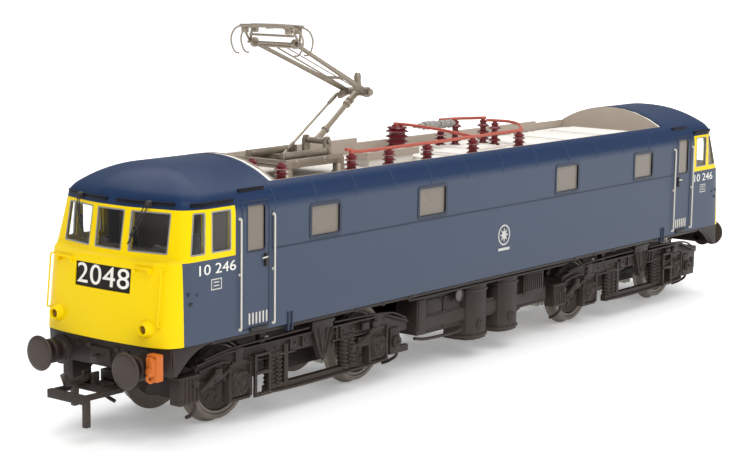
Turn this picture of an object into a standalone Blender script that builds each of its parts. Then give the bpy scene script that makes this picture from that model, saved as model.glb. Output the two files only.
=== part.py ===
"""Model electric locomotive, 1:76 scale, with a working drive train, bogies, buffers, couplings and pantograph.

Row frame: +X runs along the locomotive towards cab B, +Y to its left-hand side when facing +X, +Z up.
The origin is on the ground under the middle of the locomotive; the wheel flanges touch z = 0.
All sizes are written in millimetres and turned into metres by MM.
"""

import math

import bmesh
import bpy
from mathutils import Matrix, Vector

MM = 0.001
MERGE = 0.000002

# ---------------------------------------------------------------- driving sizes, in millimetres
BUFFER_FACE_X = 112.0
BODY_HALF_WIDTH = 17.4
BODY_BOTTOM_Z = 18.7
WAIST_Z = 34.4
LEDGE_Z = 35.3
EAVE_Z = 44.6
SHELL = 1.1

CANTRAIL_Z = 41.8
CANTRAIL_R = 5.4
ROOF_R = 27.1
ROOF_TOP_Z = 50.8

WELL_HALF_LENGTH = 76.0
WELL_HALF_WIDTH = 14.5
WELL_FLOOR_Z = 44.7

BOGIE_X = 63.5
HALF_WHEELBASE = 21.4
AXLE_Z = 8.9
TREAD_R = 8.1
FLANGE_R = AXLE_Z
WHEEL_BACK_Y = 7.25
WHEEL_FACE_Y = 9.85
AXLE_R = 1.5

BUFFER_Y = 11.4
BUFFER_Z = 15.0
BUFFER_HEAD_R = 3.4
BEAM_FACE_X = 106.2

GEAR_TEETH = 16
GEAR_MODULE = 0.675
GEAR_R = GEAR_TEETH * GEAR_MODULE / 2
WORM_R = 2.5
WORM_WHEEL_Z = AXLE_Z + math.sqrt((4 * GEAR_R) ** 2 - HALF_WHEELBASE**2)
IDLER_X = HALF_WHEELBASE / 2
IDLER_Z = (WORM_WHEEL_Z + AXLE_Z) / 2
MOTOR_Z = WORM_WHEEL_Z + GEAR_R + WORM_R
TOOTH_PITCH = 2 * math.pi / GEAR_TEETH

GAP = 0.3

# ---------------------------------------------------------------- scene, collections and materials
for old in list(bpy.data.objects):
    bpy.data.objects.remove(old)

parts = bpy.data.collections.new("model_electric_locomotive")
cutters = bpy.data.collections.new("cutters")
for collection in (parts, cutters):
    bpy.context.scene.collection.children.link(collection)


def material(name, colour, roughness, metallic=0.0):
    made = bpy.data.materials.new(name)
    made.use_nodes = True
    shader = made.node_tree.nodes["Principled BSDF"]
    shader.inputs["Base Color"].default_value = (*colour, 1.0)
    shader.inputs["Roughness"].default_value = roughness
    shader.inputs["Metallic"].default_value = metallic
    made.diffuse_color = (*colour, 1.0)
    return made


BLUE = material("blue_paint", (0.10, 0.15, 0.24), 0.45)
BLACK = material("black_plastic", (0.045, 0.040, 0.038), 0.6)
GREY = material("roof_grey", (0.62, 0.58, 0.53), 0.6)
CLEAR = material("clear_glazing", (0.85, 0.88, 0.88), 0.1)
CAB_GREY = material("cab_grey", (0.35, 0.36, 0.34), 0.6)
METAL = material("die_cast_zinc", (0.50, 0.50, 0.50), 0.45, 0.8)
STEEL = material("steel", (0.60, 0.60, 0.60), 0.3, 1.0)
BRASS = material("brass", (0.75, 0.60, 0.30), 0.3, 1.0)
NYLON = material("white_nylon", (0.85, 0.84, 0.80), 0.5)
BOARD = material("circuit_board", (0.05, 0.25, 0.12), 0.5)
ORANGE = material("orange_plastic", (0.85, 0.25, 0.03), 0.5)
RED = material("insulator_red", (0.35, 0.06, 0.05), 0.45)
NICKEL = material("nickel_silver", (0.55, 0.50, 0.42), 0.4, 0.6)


# ---------------------------------------------------------------- shape helpers
def adopt(mesh, name, finish, collection=parts):
    made = bpy.data.objects.new(name, mesh)
    collection.objects.link(made)
    if finish:
        mesh.materials.append(finish)
    return made


def helper(made):
    """Marks an object as a cutter or as one of the shapes that a Boolean joins."""
    made.hide_render = True
    made.display_type = "WIRE"
    for collection in list(made.users_collection):
        collection.objects.unlink(made)
    cutters.objects.link(made)
    return made


def box(name, x, y, z, finish=None):
    """A box between the pairs x, y and z, in millimetres."""
    bm = bmesh.new()
    size = [(pair[1] - pair[0]) * MM for pair in (x, y, z)]
    middle = [(pair[1] + pair[0]) / 2 * MM for pair in (x, y, z)]
    bmesh.ops.create_cube(bm, size=1.0, matrix=Matrix.Translation(middle) @ Matrix.Diagonal((*size, 1.0)))
    mesh = bpy.data.meshes.new(name)
    bm.to_mesh(mesh)
    bm.free()
    return adopt(mesh, name, finish)


ALONG = {
    "X": Matrix.Rotation(math.radians(90), 4, "Y"),
    "Y": Matrix.Rotation(math.radians(-90), 4, "X"),
    "Z": Matrix.Identity(4),
}


def rod(name, along, start, end, radius, finish=None, sides=16, end_radius=None):
    """A cylinder or cone from start to end, both points in millimetres, whose axis runs along X, Y or Z."""
    length = (Vector(end) - Vector(start)).length
    middle = (Vector(end) + Vector(start)) / 2
    turn = Matrix.Rotation(math.pi / sides, 4, "Z")
    place = Matrix.Translation(middle * MM) @ ALONG[along] @ turn
    bm = bmesh.new()
    bmesh.ops.create_cone(
        bm,
        cap_ends=True,
        segments=sides,
        radius1=radius * MM,
        radius2=(radius if end_radius is None else end_radius) * MM,
        depth=length * MM,
        matrix=place,
    )
    mesh = bpy.data.meshes.new(name)
    bm.to_mesh(mesh)
    bm.free()
    return adopt(mesh, name, finish)


def bar(name, start, end, radius, finish=None, sides=8):
    """A straight round bar between any two points, in millimetres."""
    start, end = Vector(start), Vector(end)
    way = end - start
    place = Matrix.Translation((start + end) / 2 * MM) @ way.to_track_quat("Z", "Y").to_matrix().to_4x4()
    bm = bmesh.new()
    bmesh.ops.create_cone(
        bm,
        cap_ends=True,
        segments=sides,
        radius1=radius * MM,
        radius2=radius * MM,
        depth=way.length * MM,
        matrix=place,
    )
    mesh = bpy.data.meshes.new(name)
    bm.to_mesh(mesh)
    bm.free()
    return adopt(mesh, name, finish)


def curve_to_mesh(curve_object, name, finish):
    """Turns a filled curve into a welded mesh object in the same place."""
    bpy.context.view_layer.update()
    graph = bpy.context.evaluated_depsgraph_get()
    mesh = bpy.data.meshes.new_from_object(curve_object.evaluated_get(graph))
    mesh.transform(curve_object.matrix_world)
    data = curve_object.data
    bpy.data.objects.remove(curve_object)
    bpy.data.curves.remove(data)
    bm = bmesh.new()
    bm.from_mesh(mesh)
    bmesh.ops.remove_doubles(bm, verts=bm.verts, dist=MERGE)
    bmesh.ops.recalc_face_normals(bm, faces=bm.faces)
    bm.to_mesh(mesh)
    bm.free()
    mesh.name = name
    mesh.materials.clear()
    return adopt(mesh, name, finish)


# Each plane's matrix carries a flat outline's (first, second) axes and its thickness direction into the frame.
PLANES = {
    "XY": Matrix.Identity(4),
    "XZ": Matrix(((1, 0, 0, 0), (0, 0, -1, 0), (0, 1, 0, 0), (0, 0, 0, 1))),
    "YZ": Matrix(((0, 0, 1, 0), (1, 0, 0, 0), (0, 1, 0, 0), (0, 0, 0, 1))),
}
THICKNESS_SIGN = {"XY": 1, "XZ": -1, "YZ": 1}


def plate(name, plane, outlines, low, high, finish=None):
    """A flat outline, with any holes as further outlines, between low and high on the axis across its plane."""
    curve = bpy.data.curves.new(name, "CURVE")
    curve.dimensions = "2D"
    curve.fill_mode = "BOTH"
    curve.extrude = abs(high - low) / 2 * MM
    for outline in outlines:
        spline = curve.splines.new("POLY")
        spline.points.add(len(outline) - 1)
        for point, (first, second) in zip(spline.points, outline):
            point.co = (first * MM, second * MM, 0, 1)
        spline.use_cyclic_u = True
    made = bpy.data.objects.new(name + "_outline", curve)
    parts.objects.link(made)
    shift = THICKNESS_SIGN[plane] * (low + high) / 2 * MM
    made.matrix_world = PLANES[plane] @ Matrix.Translation((0, 0, shift))
    return curve_to_mesh(made, name, finish)


def turned(name, profile, along, centre, finish=None, steps=24):
    """A turned shape: profile is (radius, height) from the top of its outside to the bottom, closed onto the axis."""
    mesh = bpy.data.meshes.new(name)
    bm = bmesh.new()
    points = [bm.verts.new((radius * MM, 0, height * MM)) for radius, height in profile]
    for first, second in zip(points, points[1:]):
        bm.edges.new((first, second))
    bm.to_mesh(mesh)
    bm.free()
    made = adopt(mesh, name, finish)
    made.matrix_world = Matrix.Translation(Vector(centre) * MM) @ ALONG[along]
    screw = made.modifiers.new("turn", "SCREW")
    screw.axis = "Z"
    screw.angle = 2 * math.pi
    screw.steps = steps
    screw.render_steps = steps
    screw.use_merge_vertices = True
    screw.merge_threshold = MERGE
    screw.use_smooth_shade = False
    return made


def wire(name, points, radius, finish=None, sides=2):
    """A round wire through the points, in millimetres, as a mesh."""
    curve = bpy.data.curves.new(name, "CURVE")
    curve.dimensions = "3D"
    curve.bevel_depth = radius * MM
    curve.bevel_resolution = sides
    curve.use_fill_caps = True
    spline = curve.splines.new("POLY")
    spline.points.add(len(points) - 1)
    for point, place in zip(spline.points, points):
        point.co = (*(value * MM for value in place), 1)
    made = bpy.data.objects.new(name + "_path", curve)
    parts.objects.link(made)
    return curve_to_mesh(made, name, finish)


def boolean(target, other, operation):
    step = target.modifiers.new(f"{operation.lower()}_{other.name}", "BOOLEAN")
    step.operation = operation
    step.solver = "EXACT"
    step.object = helper(other)
    return target


def join(target, *others):
    for other in others:
        boolean(target, other, "UNION")
    return target


def cut(target, *others):
    for other in others:
        boolean(target, other, "DIFFERENCE")
    return target


def arc(centre, radius, first, last, count):
    """Points on an arc, angles in degrees."""
    step = (last - first) / count
    return [
        (
            centre[0] + radius * math.cos(math.radians(first + step * i)),
            centre[1] + radius * math.sin(math.radians(first + step * i)),
        )
        for i in range(count + 1)
    ]


def flipped(outline, sign):
    """The outline as it is, or mirrored across its second axis for the other end."""
    return [(sign * first, second) for first, second in outline]


# ---------------------------------------------------------------- body shell
def section_half_width(z):
    """Half width of the body at height z on the side and the cantrail curve."""
    if z <= CANTRAIL_Z:
        return BODY_HALF_WIDTH
    turn = math.asin((z - CANTRAIL_Z) / CANTRAIL_R)
    return BODY_HALF_WIDTH - CANTRAIL_R * (1 - math.cos(turn))


def roof_height(y):
    """Height of the roof arc at distance y from the middle."""
    return ROOF_TOP_Z - ROOF_R + math.sqrt(ROOF_R**2 - y * y)


SIDE_X = (0.0, 40.0, 78.0, 90.0, 96.0)
ROOF_POLE_X = 91.0
# Plan outline of the nose from the side to the middle, as (x, y): below the waist, above it, and at the eave.
NOSE_LOWER = [(99.4, 17.4), (102.4, 17.2), (104.4, 16.2), (105.2, 14.4), (105.7, 11.0), (106.0, 4.6), (106.1, 0.0)]
NOSE_UPPER = [(98.6, 17.4), (100.3, 17.3), (101.4, 16.7), (102.0, 15.4), (103.0, 11.4), (104.8, 4.6), (104.9, 0.0)]
NOSE_EAVE = [(97.4, 16.6), (98.6, 16.4), (99.6, 15.9), (100.2, 14.8), (101.3, 11.2), (103.3, 4.6), (103.4, 0.0)]
ROOF_STEPS = (15.0, 12.0, 8.0, 4.0, 0.0)


def shell_columns():
    """Columns of points up the outside, from the middle of the side round to the middle of the nose."""
    eave_y = section_half_width(EAVE_Z)
    columns = []
    for x in SIDE_X:
        column = [(x, section_half_width(z), z) for z in (BODY_BOTTOM_Z, WAIST_Z, LEDGE_Z, CANTRAIL_Z, 43.3, EAVE_Z)]
        for y in ROOF_STEPS:
            reach = y / eave_y
            spine = min(x, ROOF_POLE_X)
            column.append((spine + (x - spine) * reach, y, roof_height(y)))
        columns.append(column)
    for lower, upper, eave in zip(NOSE_LOWER, NOSE_UPPER, NOSE_EAVE):
        column = [(*lower, BODY_BOTTOM_Z), (*lower, WAIST_Z), (*upper, LEDGE_Z)]
        for z in (CANTRAIL_Z, 43.3, EAVE_Z):
            share = (z - LEDGE_Z) / (EAVE_Z - LEDGE_Z)
            x = upper[0] + (eave[0] - upper[0]) * share
            y = upper[1] + (eave[1] - upper[1]) * share
            column.append((x, y, z))
        for y in ROOF_STEPS:
            reach = y / eave_y
            x = ROOF_POLE_X + (eave[0] - ROOF_POLE_X) * reach
            column.append((x, eave[1] * reach, roof_height(y)))
        columns.append(column)
    return columns


def body_surface(name):
    """One quarter of the outer skin, mirrored to the other three and given its wall."""
    columns = shell_columns()
    bm = bmesh.new()
    grid = [[bm.verts.new(tuple(value * MM for value in point)) for point in column] for column in columns]
    for here, there in zip(grid, grid[1:]):
        for i in range(len(here) - 1):
            bm.faces.new((here[i], there[i], there[i + 1], here[i + 1]))
    bmesh.ops.remove_doubles(bm, verts=bm.verts, dist=MERGE)
    bmesh.ops.recalc_face_normals(bm, faces=bm.faces)
    top = max(bm.faces, key=lambda face: face.calc_center_median().z)
    if top.normal.z < 0:
        bmesh.ops.reverse_faces(bm, faces=bm.faces)
    mesh = bpy.data.meshes.new(name)
    bm.to_mesh(mesh)
    bm.free()
    made = adopt(mesh, name, BLUE)
    mirror = made.modifiers.new("quarters", "MIRROR")
    mirror.use_axis = (True, True, False)
    mirror.merge_threshold = MERGE
    wall = made.modifiers.new("wall", "SOLIDIFY")
    wall.thickness = SHELL * MM
    wall.offset = -1
    return made


SIDE_WINDOWS = [(22.1, 31.4), (58.1, 66.7)]
SIDE_WINDOW_Z = (35.1, 40.9)
DOOR_WINDOW_X = (80.4, 85.3)
DOOR_WINDOW_Z = (34.1, 43.2)
CAB_SIDE_WINDOWS = [
    [(101.0, 35.9), (97.3, 35.9), (97.0, 42.9), (99.6, 42.9)],
    [(95.3, 35.9), (90.2, 35.9), (90.2, 42.9), (95.3, 42.9)],
]
WINDSCREENS = [
    [(-3.45, 36.3), (3.45, 36.3), (3.6, 43.8), (-3.6, 43.8)],
    [(5.1, 36.3), (13.2, 36.3), (12.8, 43.8), (5.0, 43.8)],
    [(-5.1, 36.3), (-13.2, 36.3), (-12.8, 43.8), (-5.0, 43.8)],
]
HEADCODE_Y = 7.4
HEADCODE_Z = (27.9, 32.6)


def rectangle(first, second):
    return [(first[0], second[0]), (first[1], second[0]), (first[1], second[1]), (first[0], second[1])]


def window_cutters(reach):
    """Prisms through every window and headcode opening; reach shrinks them for the glazing that fills them."""
    made = []
    across = (-BODY_HALF_WIDTH - 2, BODY_HALF_WIDTH + 2)
    for sign in (-1, 1):
        for number, x in enumerate(SIDE_WINDOWS):
            outline = flipped(rectangle(x, SIDE_WINDOW_Z), sign)
            made.append(plate(f"window_{number}{sign}{reach}", "XZ", [outline], *across))
        outline = flipped(rectangle(DOOR_WINDOW_X, DOOR_WINDOW_Z), sign)
        made.append(plate(f"door_window_{sign}{reach}", "XZ", [outline], *across))
        for number, outline in enumerate(CAB_SIDE_WINDOWS):
            made.append(plate(f"cab_window_{number}{sign}{reach}", "XZ", [flipped(outline, sign)], *across))
        ends = (99.0, 108.0) if sign > 0 else (-108.0, -99.0)
        for number, outline in enumerate(WINDSCREENS):
            made.append(plate(f"windscreen_{number}{sign}{reach}", "YZ", [outline], *ends))
        front = (103.5, 108.0) if sign > 0 else (-108.0, -103.5)
        made.append(box(f"headcode_{sign}{reach}", front, (-HEADCODE_Y, HEADCODE_Y), HEADCODE_Z))
    return made


body_shell = body_surface("body_shell")
cut(
    body_shell,
    box(
        "roof_well",
        (-WELL_HALF_LENGTH, WELL_HALF_LENGTH),
        (-WELL_HALF_WIDTH, WELL_HALF_WIDTH),
        (40.0, ROOF_TOP_Z + 2),
    ),
    *window_cutters(0),
)


# ---------------------------------------------------------------- roof panel that fills the well between the cabs
SCREEN_Y = (13.3, 14.2)
SCREEN_TOP_Z = 48.4
SCREEN_END_X = -14.0

panel_x = WELL_HALF_LENGTH - GAP
panel_y = WELL_HALF_WIDTH - GAP
roof_panel = box("roof_panel", (-panel_x, panel_x), (-panel_y, panel_y), (WELL_FLOOR_Z - 1.2, WELL_FLOOR_Z), GREY)
crescent = [(-panel_y, WELL_FLOOR_Z - 0.6), (panel_y, WELL_FLOOR_Z - 0.6)]
crescent += [(y, roof_height(y) - 0.1) for y in (panel_y, 11.0, 7.0, 3.5, 0.0, -3.5, -7.0, -11.0, -panel_y)]
join(
    roof_panel,
    plate("bulkhead_a", "YZ", [crescent], -panel_x, -panel_x + 1.0),
    plate("bulkhead_b", "YZ", [crescent], panel_x - 1.0, panel_x),
    box("side_screen", (-panel_x + 0.5, SCREEN_END_X), SCREEN_Y, (WELL_FLOOR_Z - 0.6, SCREEN_TOP_Z)),
)


# ---------------------------------------------------------------- glazing, behind the window openings
GLASS = 0.6
inner_side = BODY_HALF_WIDTH - SHELL - GAP
for side, word in ((-1, "right"), (1, "left")):
    y = sorted((side * inner_side, side * (inner_side - GLASS)))
    box(f"side_glazing_{word}", (-70.0, 70.0), y, (33.6, 41.6), CLEAR)


def cab_glazing(name, sign):
    """One clear moulding behind the cab's windscreens, side windows and headcode opening."""
    inner = [(x - SHELL - GAP, y - SHELL - GAP) for x, y in NOSE_UPPER]
    wrap = [(79.6, inner_side), (95.6, inner_side)] + [(x - 2.6, max(y - 0.4, 0.0)) for x, y in inner[1:-1]]
    outer = wrap + [(x, -y) for x, y in reversed(wrap)]
    thin = [(x - GLASS, y - GLASS) for x, y in wrap[2:]]
    thin = [(79.6, inner_side - GLASS), (95.6, inner_side - GLASS)] + thin
    inside = thin + [(x, -y) for x, y in reversed(thin)]
    outline = outer + list(reversed(inside))
    made = plate(name, "XY", [flipped(outline, sign)], 35.8, 43.1, CLEAR)
    code_x = sorted((sign * 101.2, sign * 104.0))
    join(
        made,
        box(f"{name}_headcode", code_x, (-HEADCODE_Y + GAP, HEADCODE_Y - GAP), (HEADCODE_Z[0] + GAP, HEADCODE_Z[1] - GAP)),
        box(f"{name}_light_guide", sorted((sign * 100.4, sign * 102.2)), (-2.0, 2.0), (30.0, 37.0)),
    )
    return made


cab_glazing("cab_glazing_a", -1)
cab_glazing("cab_glazing_b", 1)

# ---------------------------------------------------------------- cab interiors: floor, rear wall, desk and two seats
def cab_interior(name, sign):
    def block(word, x, y, z):
        return box(f"{name}_{word}", sorted((sign * x[0], sign * x[1])), y, z)

    made = block("floor", (86.5, 99.9), (-14.6, 14.6), (25.0, 26.0))
    made.name = name
    made.data.materials.append(CAB_GREY)
    join(
        made,
        block("wall", (86.5, 87.4), (-14.6, 14.6), (25.5, 44.0)),
        block("desk", (96.4, 99.9), (-13.2, 13.2), (33.2, 34.6)),
        block("desk_panel", (98.6, 99.8), (-13.2, 13.2), (25.5, 33.6)),
    )
    for y in (-8.5, 8.5):
        join(
            made,
            block(f"seat_post{y}", (91.2, 92.4), (y - 0.7, y + 0.7), (25.5, 30.6)),
            block(f"seat{y}", (89.7, 93.9), (y - 2.3, y + 2.3), (30.2, 31.4)),
            block(f"seat_back{y}", (89.7, 90.6), (y - 2.3, y + 2.3), (31.0, 37.0)),
        )


cab_interior("cab_interior_a", -1)
cab_interior("cab_interior_b", 1)


# ---------------------------------------------------------------- die-cast chassis: floor, ballast blocks and bogie rings
CHASSIS_Z = (19.2, 21.2)
BALLAST_TOP_Z = 31.0
TURN_HOLE_R = 13.0

chassis = box("chassis_block", (-98, 98), (-15.6, 15.6), CHASSIS_Z, METAL)
for number, x in enumerate(((-48, -32), (32, 48))):
    for side, y in enumerate(((-15.6, -4.0), (4.0, 15.6))):
        join(chassis, box(f"ballast_{number}{side}", x, y, (20.5, BALLAST_TOP_Z)))
cut(chassis, box("motor_opening", (-31, 31), (-9.2, 9.2), (15, 25)), box("shaft_slot", (-56, 56), (-3.0, 3.0), (15, 25)))
for sign in (-1, 1):
    cut(chassis, box(f"cup_room_{sign}", sorted((sign * 48.6, sign * 56)), (-4.8, 4.8), (15, 25)))
for sign in (-1, 1):
    pivot = sign * BOGIE_X
    cut(chassis, rod(f"turn_hole_{sign}", "Z", (pivot, 0, 15), (pivot, 0, 25), TURN_HOLE_R, sides=32))


# ---------------------------------------------------------------- underframe: floor plate, solebars, beams and skirts
BEAM_PLAN = [(103.2, 16.4), (104.4, 16.0), (105.2, 14.6), (106.0, 12.8), (BEAM_FACE_X, 0.0)]
SKIRT = [(104.2, 13.3), (103.4, 13.3)] + [(93.4 + 9.0 * t, 18.2 - 4.0 * t**2.2) for t in (0.95, 0.75, 0.5, 0.25, 0.0)]
SKIRT += [(93.4, 18.4), (104.4, 18.4)]
BEAM_Z = (13.3, 18.4)

underframe = box("underframe", (-104.6, 104.6), (-15.9, 15.9), (18.05, 18.6), BLACK)
for side, y in enumerate(((-16.4, -15.2), (15.2, 16.4))):
    join(underframe, box(f"solebar_{side}", (-94, 94), y, (17.75, 18.3)))
for sign in (-1, 1):
    plan = [(x, y) for x, y in BEAM_PLAN] + [(x, -y) for x, y in reversed(BEAM_PLAN[:-1])]
    join(underframe, plate(f"beam_{sign}", "XY", [flipped(plan, sign)], *BEAM_Z))
    for side, y in enumerate(((-16.4, -14.8), (14.8, 16.4))):
        join(underframe, plate(f"skirt_{sign}{side}", "XZ", [flipped(SKIRT, sign)], *y))
        centre_y = BUFFER_Y if side else -BUFFER_Y
        housing = ((sign * 105.0, centre_y, BUFFER_Z), (sign * 109.4, centre_y, BUFFER_Z))
        join(underframe, rod(f"buffer_housing_{sign}{side}", "X", *sorted(housing), 1.85, sides=16))
    join(underframe, box(f"draw_box_{sign}", sorted((sign * 103.4, sign * 107.0)), (-2.6, 2.6), (13.9, 17.0)))
    pivot = sign * BOGIE_X
    cut(underframe, rod(f"bogie_hole_{sign}", "Z", (pivot, 0, 15), (pivot, 0, 25), 15.2, sides=28))
    for side in (-1, 1):
        y = side * BUFFER_Y
        bore = sorted(((sign * 102.6, y, BUFFER_Z), (sign * 110.0, y, BUFFER_Z)))
        cut(underframe, rod(f"buffer_bore_{sign}{side}", "X", *bore, 1.2, sides=12))
cut(underframe, box("motor_gap", (-31, 31), (-9.4, 9.4), (15, 25)), box("slot_gap", (-56, 56), (-3.2, 3.2), (15, 25)))


# ---------------------------------------------------------------- motor: steel can, brush cap, rotor with flywheels
def outline_circle(y, z, radius, sides):
    return arc((y, z), radius, 360 / (2 * sides), 360 + 360 / (2 * sides) - 360 / sides, sides - 1)


can = [(-8, MOTOR_Z - 4), (-5, MOTOR_Z - 6.8), (5, MOTOR_Z - 6.8), (8, MOTOR_Z - 4)]
can += [(8, MOTOR_Z + 4), (5, MOTOR_Z + 6.8), (-5, MOTOR_Z + 6.8), (-8, MOTOR_Z + 4)]
motor_can = plate("motor_can", "YZ", [can, outline_circle(0, MOTOR_Z, 6.2, 20)], -13.5, 13.5, STEEL)
for number, y in enumerate(((-10.6, -7.5), (7.5, 10.6))):
    join(motor_can, box(f"can_foot_{number}", (-9, 9), y, (21.5, 22.7)))
cap = [(-7.6, MOTOR_Z - 3.8), (-4.8, MOTOR_Z - 6.4), (4.8, MOTOR_Z - 6.4), (7.6, MOTOR_Z - 3.8)]
cap += [(7.6, MOTOR_Z + 3.8), (4.8, MOTOR_Z + 6.4), (-4.8, MOTOR_Z + 6.4), (-7.6, MOTOR_Z + 3.8)]
hole = outline_circle(0, MOTOR_Z, 1.15, 12)
plate("motor_cap_a", "YZ", [cap, hole], -15.6, -13.8, NYLON)
plate("motor_cap_b", "YZ", [cap, hole], 13.8, 15.6, NYLON)

# The rotor is one turned piece: joint balls, drive shafts, flywheels and armature.
BALL_X = BOGIE_X - 12.0
rotor_profile = [(0, BALL_X + 0.9), (0.5, BALL_X + 0.7), (0.7, BALL_X), (0.4, BALL_X - 0.7), (0.4, 29.0)]
rotor_profile += [(6.0, 29.0), (6.0, 18.0), (1.0, 18.0), (1.0, 12.2), (5.6, 12.2)]
rotor_profile += [(radius, -height) for radius, height in reversed(rotor_profile)]
turned("motor_rotor", rotor_profile, "X", (0, 0, MOTOR_Z), BRASS, 16)


# ---------------------------------------------------------------- circuit board on the ballast blocks
board = box("circuit_board", (-44, 44), (-12, 12), (31.3, 32.5), BOARD)
join(
    board,
    box("decoder_plug", (-12, -2), (-6, 6), (32.2, 35.0)),
    box("decoder", (6, 24), (-7, 7), (32.2, 34.6)),
    box("coil_a", (-28, -22), (-2, 2), (32.2, 34.4)),
    box("coil_b", (30, 36), (-2, 2), (32.2, 34.4)),
)


# ---------------------------------------------------------------- equipment tanks between the bogies, both sides
TANK_TOP_Z = 17.1
tanks = box("equipment_tanks", (-27.8, 22.8), (-14.8, 14.8), (9.6, 12.2), BLACK)
TANK_FRONT = [(-12.8, 0), (-15.2, 0.6), (-16.1, 2.2), (-16.3, 4.5), (-16.1, 6.8), (-15.2, 8.4), (-12.8, 9.0), (-9.4, 9.0)]
for side in (-1, 1):
    for number, start in enumerate((-10.9, 1.5)):
        outline = [(start + along, -side * y) for y, along in TANK_FRONT] + [(start, -side * -9.4)]
        join(tanks, plate(f"tank_{number}{side}", "XY", [outline], 4.8, TANK_TOP_Z))
    across = sorted((side * 9.4, side * 15.0))
    join(
        tanks,
        box(f"tank_link_{side}", (-2.0, 1.8), sorted((side * 9.4, side * 14.6)), (9.0, 13.0)),
        box(f"end_box_{side}", (-28.4, -25.2), across, (8.7, TANK_TOP_Z)),
        box(f"low_block_{side}", (-25.5, -10.5), sorted((side * 9.4, side * 14.0)), (8.3, 16.4)),
        box(f"far_box_{side}", (13.1, 21.3), across, (11.5, TANK_TOP_Z)),
        box(f"far_block_{side}", (10.2, 22.8), sorted((side * 9.4, side * 13.6)), (8.6, 15.6)),
        rod(f"gauge_{side}", "Y", *sorted(((-13.5, side * 13.5, 15.9), (-13.5, side * 15.4, 15.9))), 1.2, sides=12),
    )


# ---------------------------------------------------------------- gears: worm, worm wheel, idlers, axle gears
def gear_outline(centre, phase):
    """Outline of a spur gear whose tooth 0 points along the angle phase, in radians."""
    points = []
    for tooth in range(GEAR_TEETH):
        middle = phase + tooth * TOOTH_PITCH
        for radius, half_width in ((4.72, -0.62), (5.84, -0.26), (5.84, 0.26), (4.72, 0.62)):
            angle = middle + half_width / radius
            points.append((centre[0] + radius * math.cos(angle), centre[1] + radius * math.sin(angle)))
    return points


def meshing_phase(driver_phase, direction):
    """Phase of the gear that lies in this direction from a gear with driver_phase, so that the two mesh."""
    driver_part = (direction - driver_phase) / TOOTH_PITCH
    return direction + math.pi - TOOTH_PITCH * (0.5 - driver_part)


def wheelset(name, x, phase):
    """Axle, two flanged wheels and the axle gear, as one piece on the axle line."""
    profile = [(0, 12.6), (0.7, 12.6), (0.7, WHEEL_FACE_Y - 0.8), (6.1, WHEEL_FACE_Y - 0.8), (6.3, WHEEL_FACE_Y)]
    profile += [(TREAD_R, WHEEL_FACE_Y), (TREAD_R + 0.05, WHEEL_BACK_Y + 0.75), (FLANGE_R, WHEEL_BACK_Y + 0.45)]
    profile += [(FLANGE_R, WHEEL_BACK_Y), (AXLE_R, WHEEL_BACK_Y)]
    profile += [(radius, -height) for radius, height in reversed(profile)]
    made = turned(name, profile, "Y", (x, 0, AXLE_Z), STEEL, 20)
    gear = plate(f"{name}_gear", "XZ", [gear_outline((x, AXLE_Z), phase)], -1.0, 1.0)
    move_to_origin_of(gear, made)
    return join(made, gear)


def move_to_origin_of(made, other):
    """Gives a mesh that was drawn in frame coordinates the origin of another object, in the same place."""
    bpy.context.view_layer.update()
    matrix = other.matrix_world.copy()
    made.data.transform(matrix.inverted() @ made.matrix_world)
    made.matrix_world = matrix


def centred(made, point):
    """Moves an object's origin onto the point, in millimetres, without moving its shape."""
    bpy.context.view_layer.update()
    place = Matrix.Translation(Vector(point) * MM)
    made.data.transform(place.inverted() @ made.matrix_world)
    made.matrix_world = place
    return made


def worm_shaft(name, pivot, sign):
    """Worm, its shaft and the joint cup that takes the drive shaft's ball; the cup is on the motor's side."""
    centre = (pivot, 0, MOTOR_Z)
    inner = -sign
    core = [(0, 9.9), (1.0, 9.9), (1.0, 6.6), (1.75, 6.6), (1.75, -6.6), (1.0, -6.6), (1.0, -10.4)]
    core += [(2.6, -10.4), (2.6, -13.2), (2.05, -13.2), (2.05, -10.9), (0, -10.9)]
    if inner > 0:
        core = [(radius, -height) for radius, height in reversed(core)]
    return turned(name, core, "X", centre, BRASS, 12)


TURNS = 3


def worm_thread(name, pivot):
    """One helical thread of trapezoid section round the worm's core."""
    lead = math.pi * GEAR_MODULE
    steps = 12
    section = ((1.55, -0.56), (3.0, -0.22), (3.0, 0.22), (1.55, 0.56))
    bm = bmesh.new()
    rings = []
    for step in range(TURNS * steps + 1):
        angle = 2 * math.pi * step / steps
        x = pivot + lead * (step / steps - (TURNS - 1) / 2)
        ring = []
        for radius, shift in section:
            place = (x + shift, radius * math.sin(angle), MOTOR_Z - radius * math.cos(angle))
            ring.append(bm.verts.new([value * MM for value in place]))
        rings.append(ring)
    for here, there in zip(rings, rings[1:]):
        for i in range(4):
            bm.faces.new((here[i], here[(i + 1) % 4], there[(i + 1) % 4], there[i]))
    bm.faces.new(list(reversed(rings[0])))
    bm.faces.new(rings[-1])
    bmesh.ops.recalc_face_normals(bm, faces=bm.faces)
    mesh = bpy.data.meshes.new(name)
    bm.to_mesh(mesh)
    bm.free()
    return adopt(mesh, name, None)


# ---------------------------------------------------------------- bogies
def mirrored_boxes(target, prefix, pivot, entries):
    """Joins boxes, given relative to the pivot, to the target on both sides of the bogie."""
    for number, (x, y, z) in enumerate(entries):
        for side in (-1, 1):
            across = sorted((side * y[0], side * y[1]))
            join(target, box(f"{prefix}_{number}{side}", (pivot + x[0], pivot + x[1]), across, z))


UPPER_BEAM = [(-33.0, 11.2), (-33.0, 13.8), (-25.0, 15.2), (24.0, 15.2), (32.0, 12.6), (32.0, 10.6)]
UPPER_BEAM += [(26.5, 10.6), (24.0, 12.2), (-24.0, 12.2), (-27.0, 11.2)]
BRACKET = [(0.0, 17.4), (6.4, 17.4), (6.4, 15.6), (4.0, 9.3), (2.4, 9.3), (0.0, 15.6)]
FRAME_Y = (13.3, 14.5)


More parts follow.
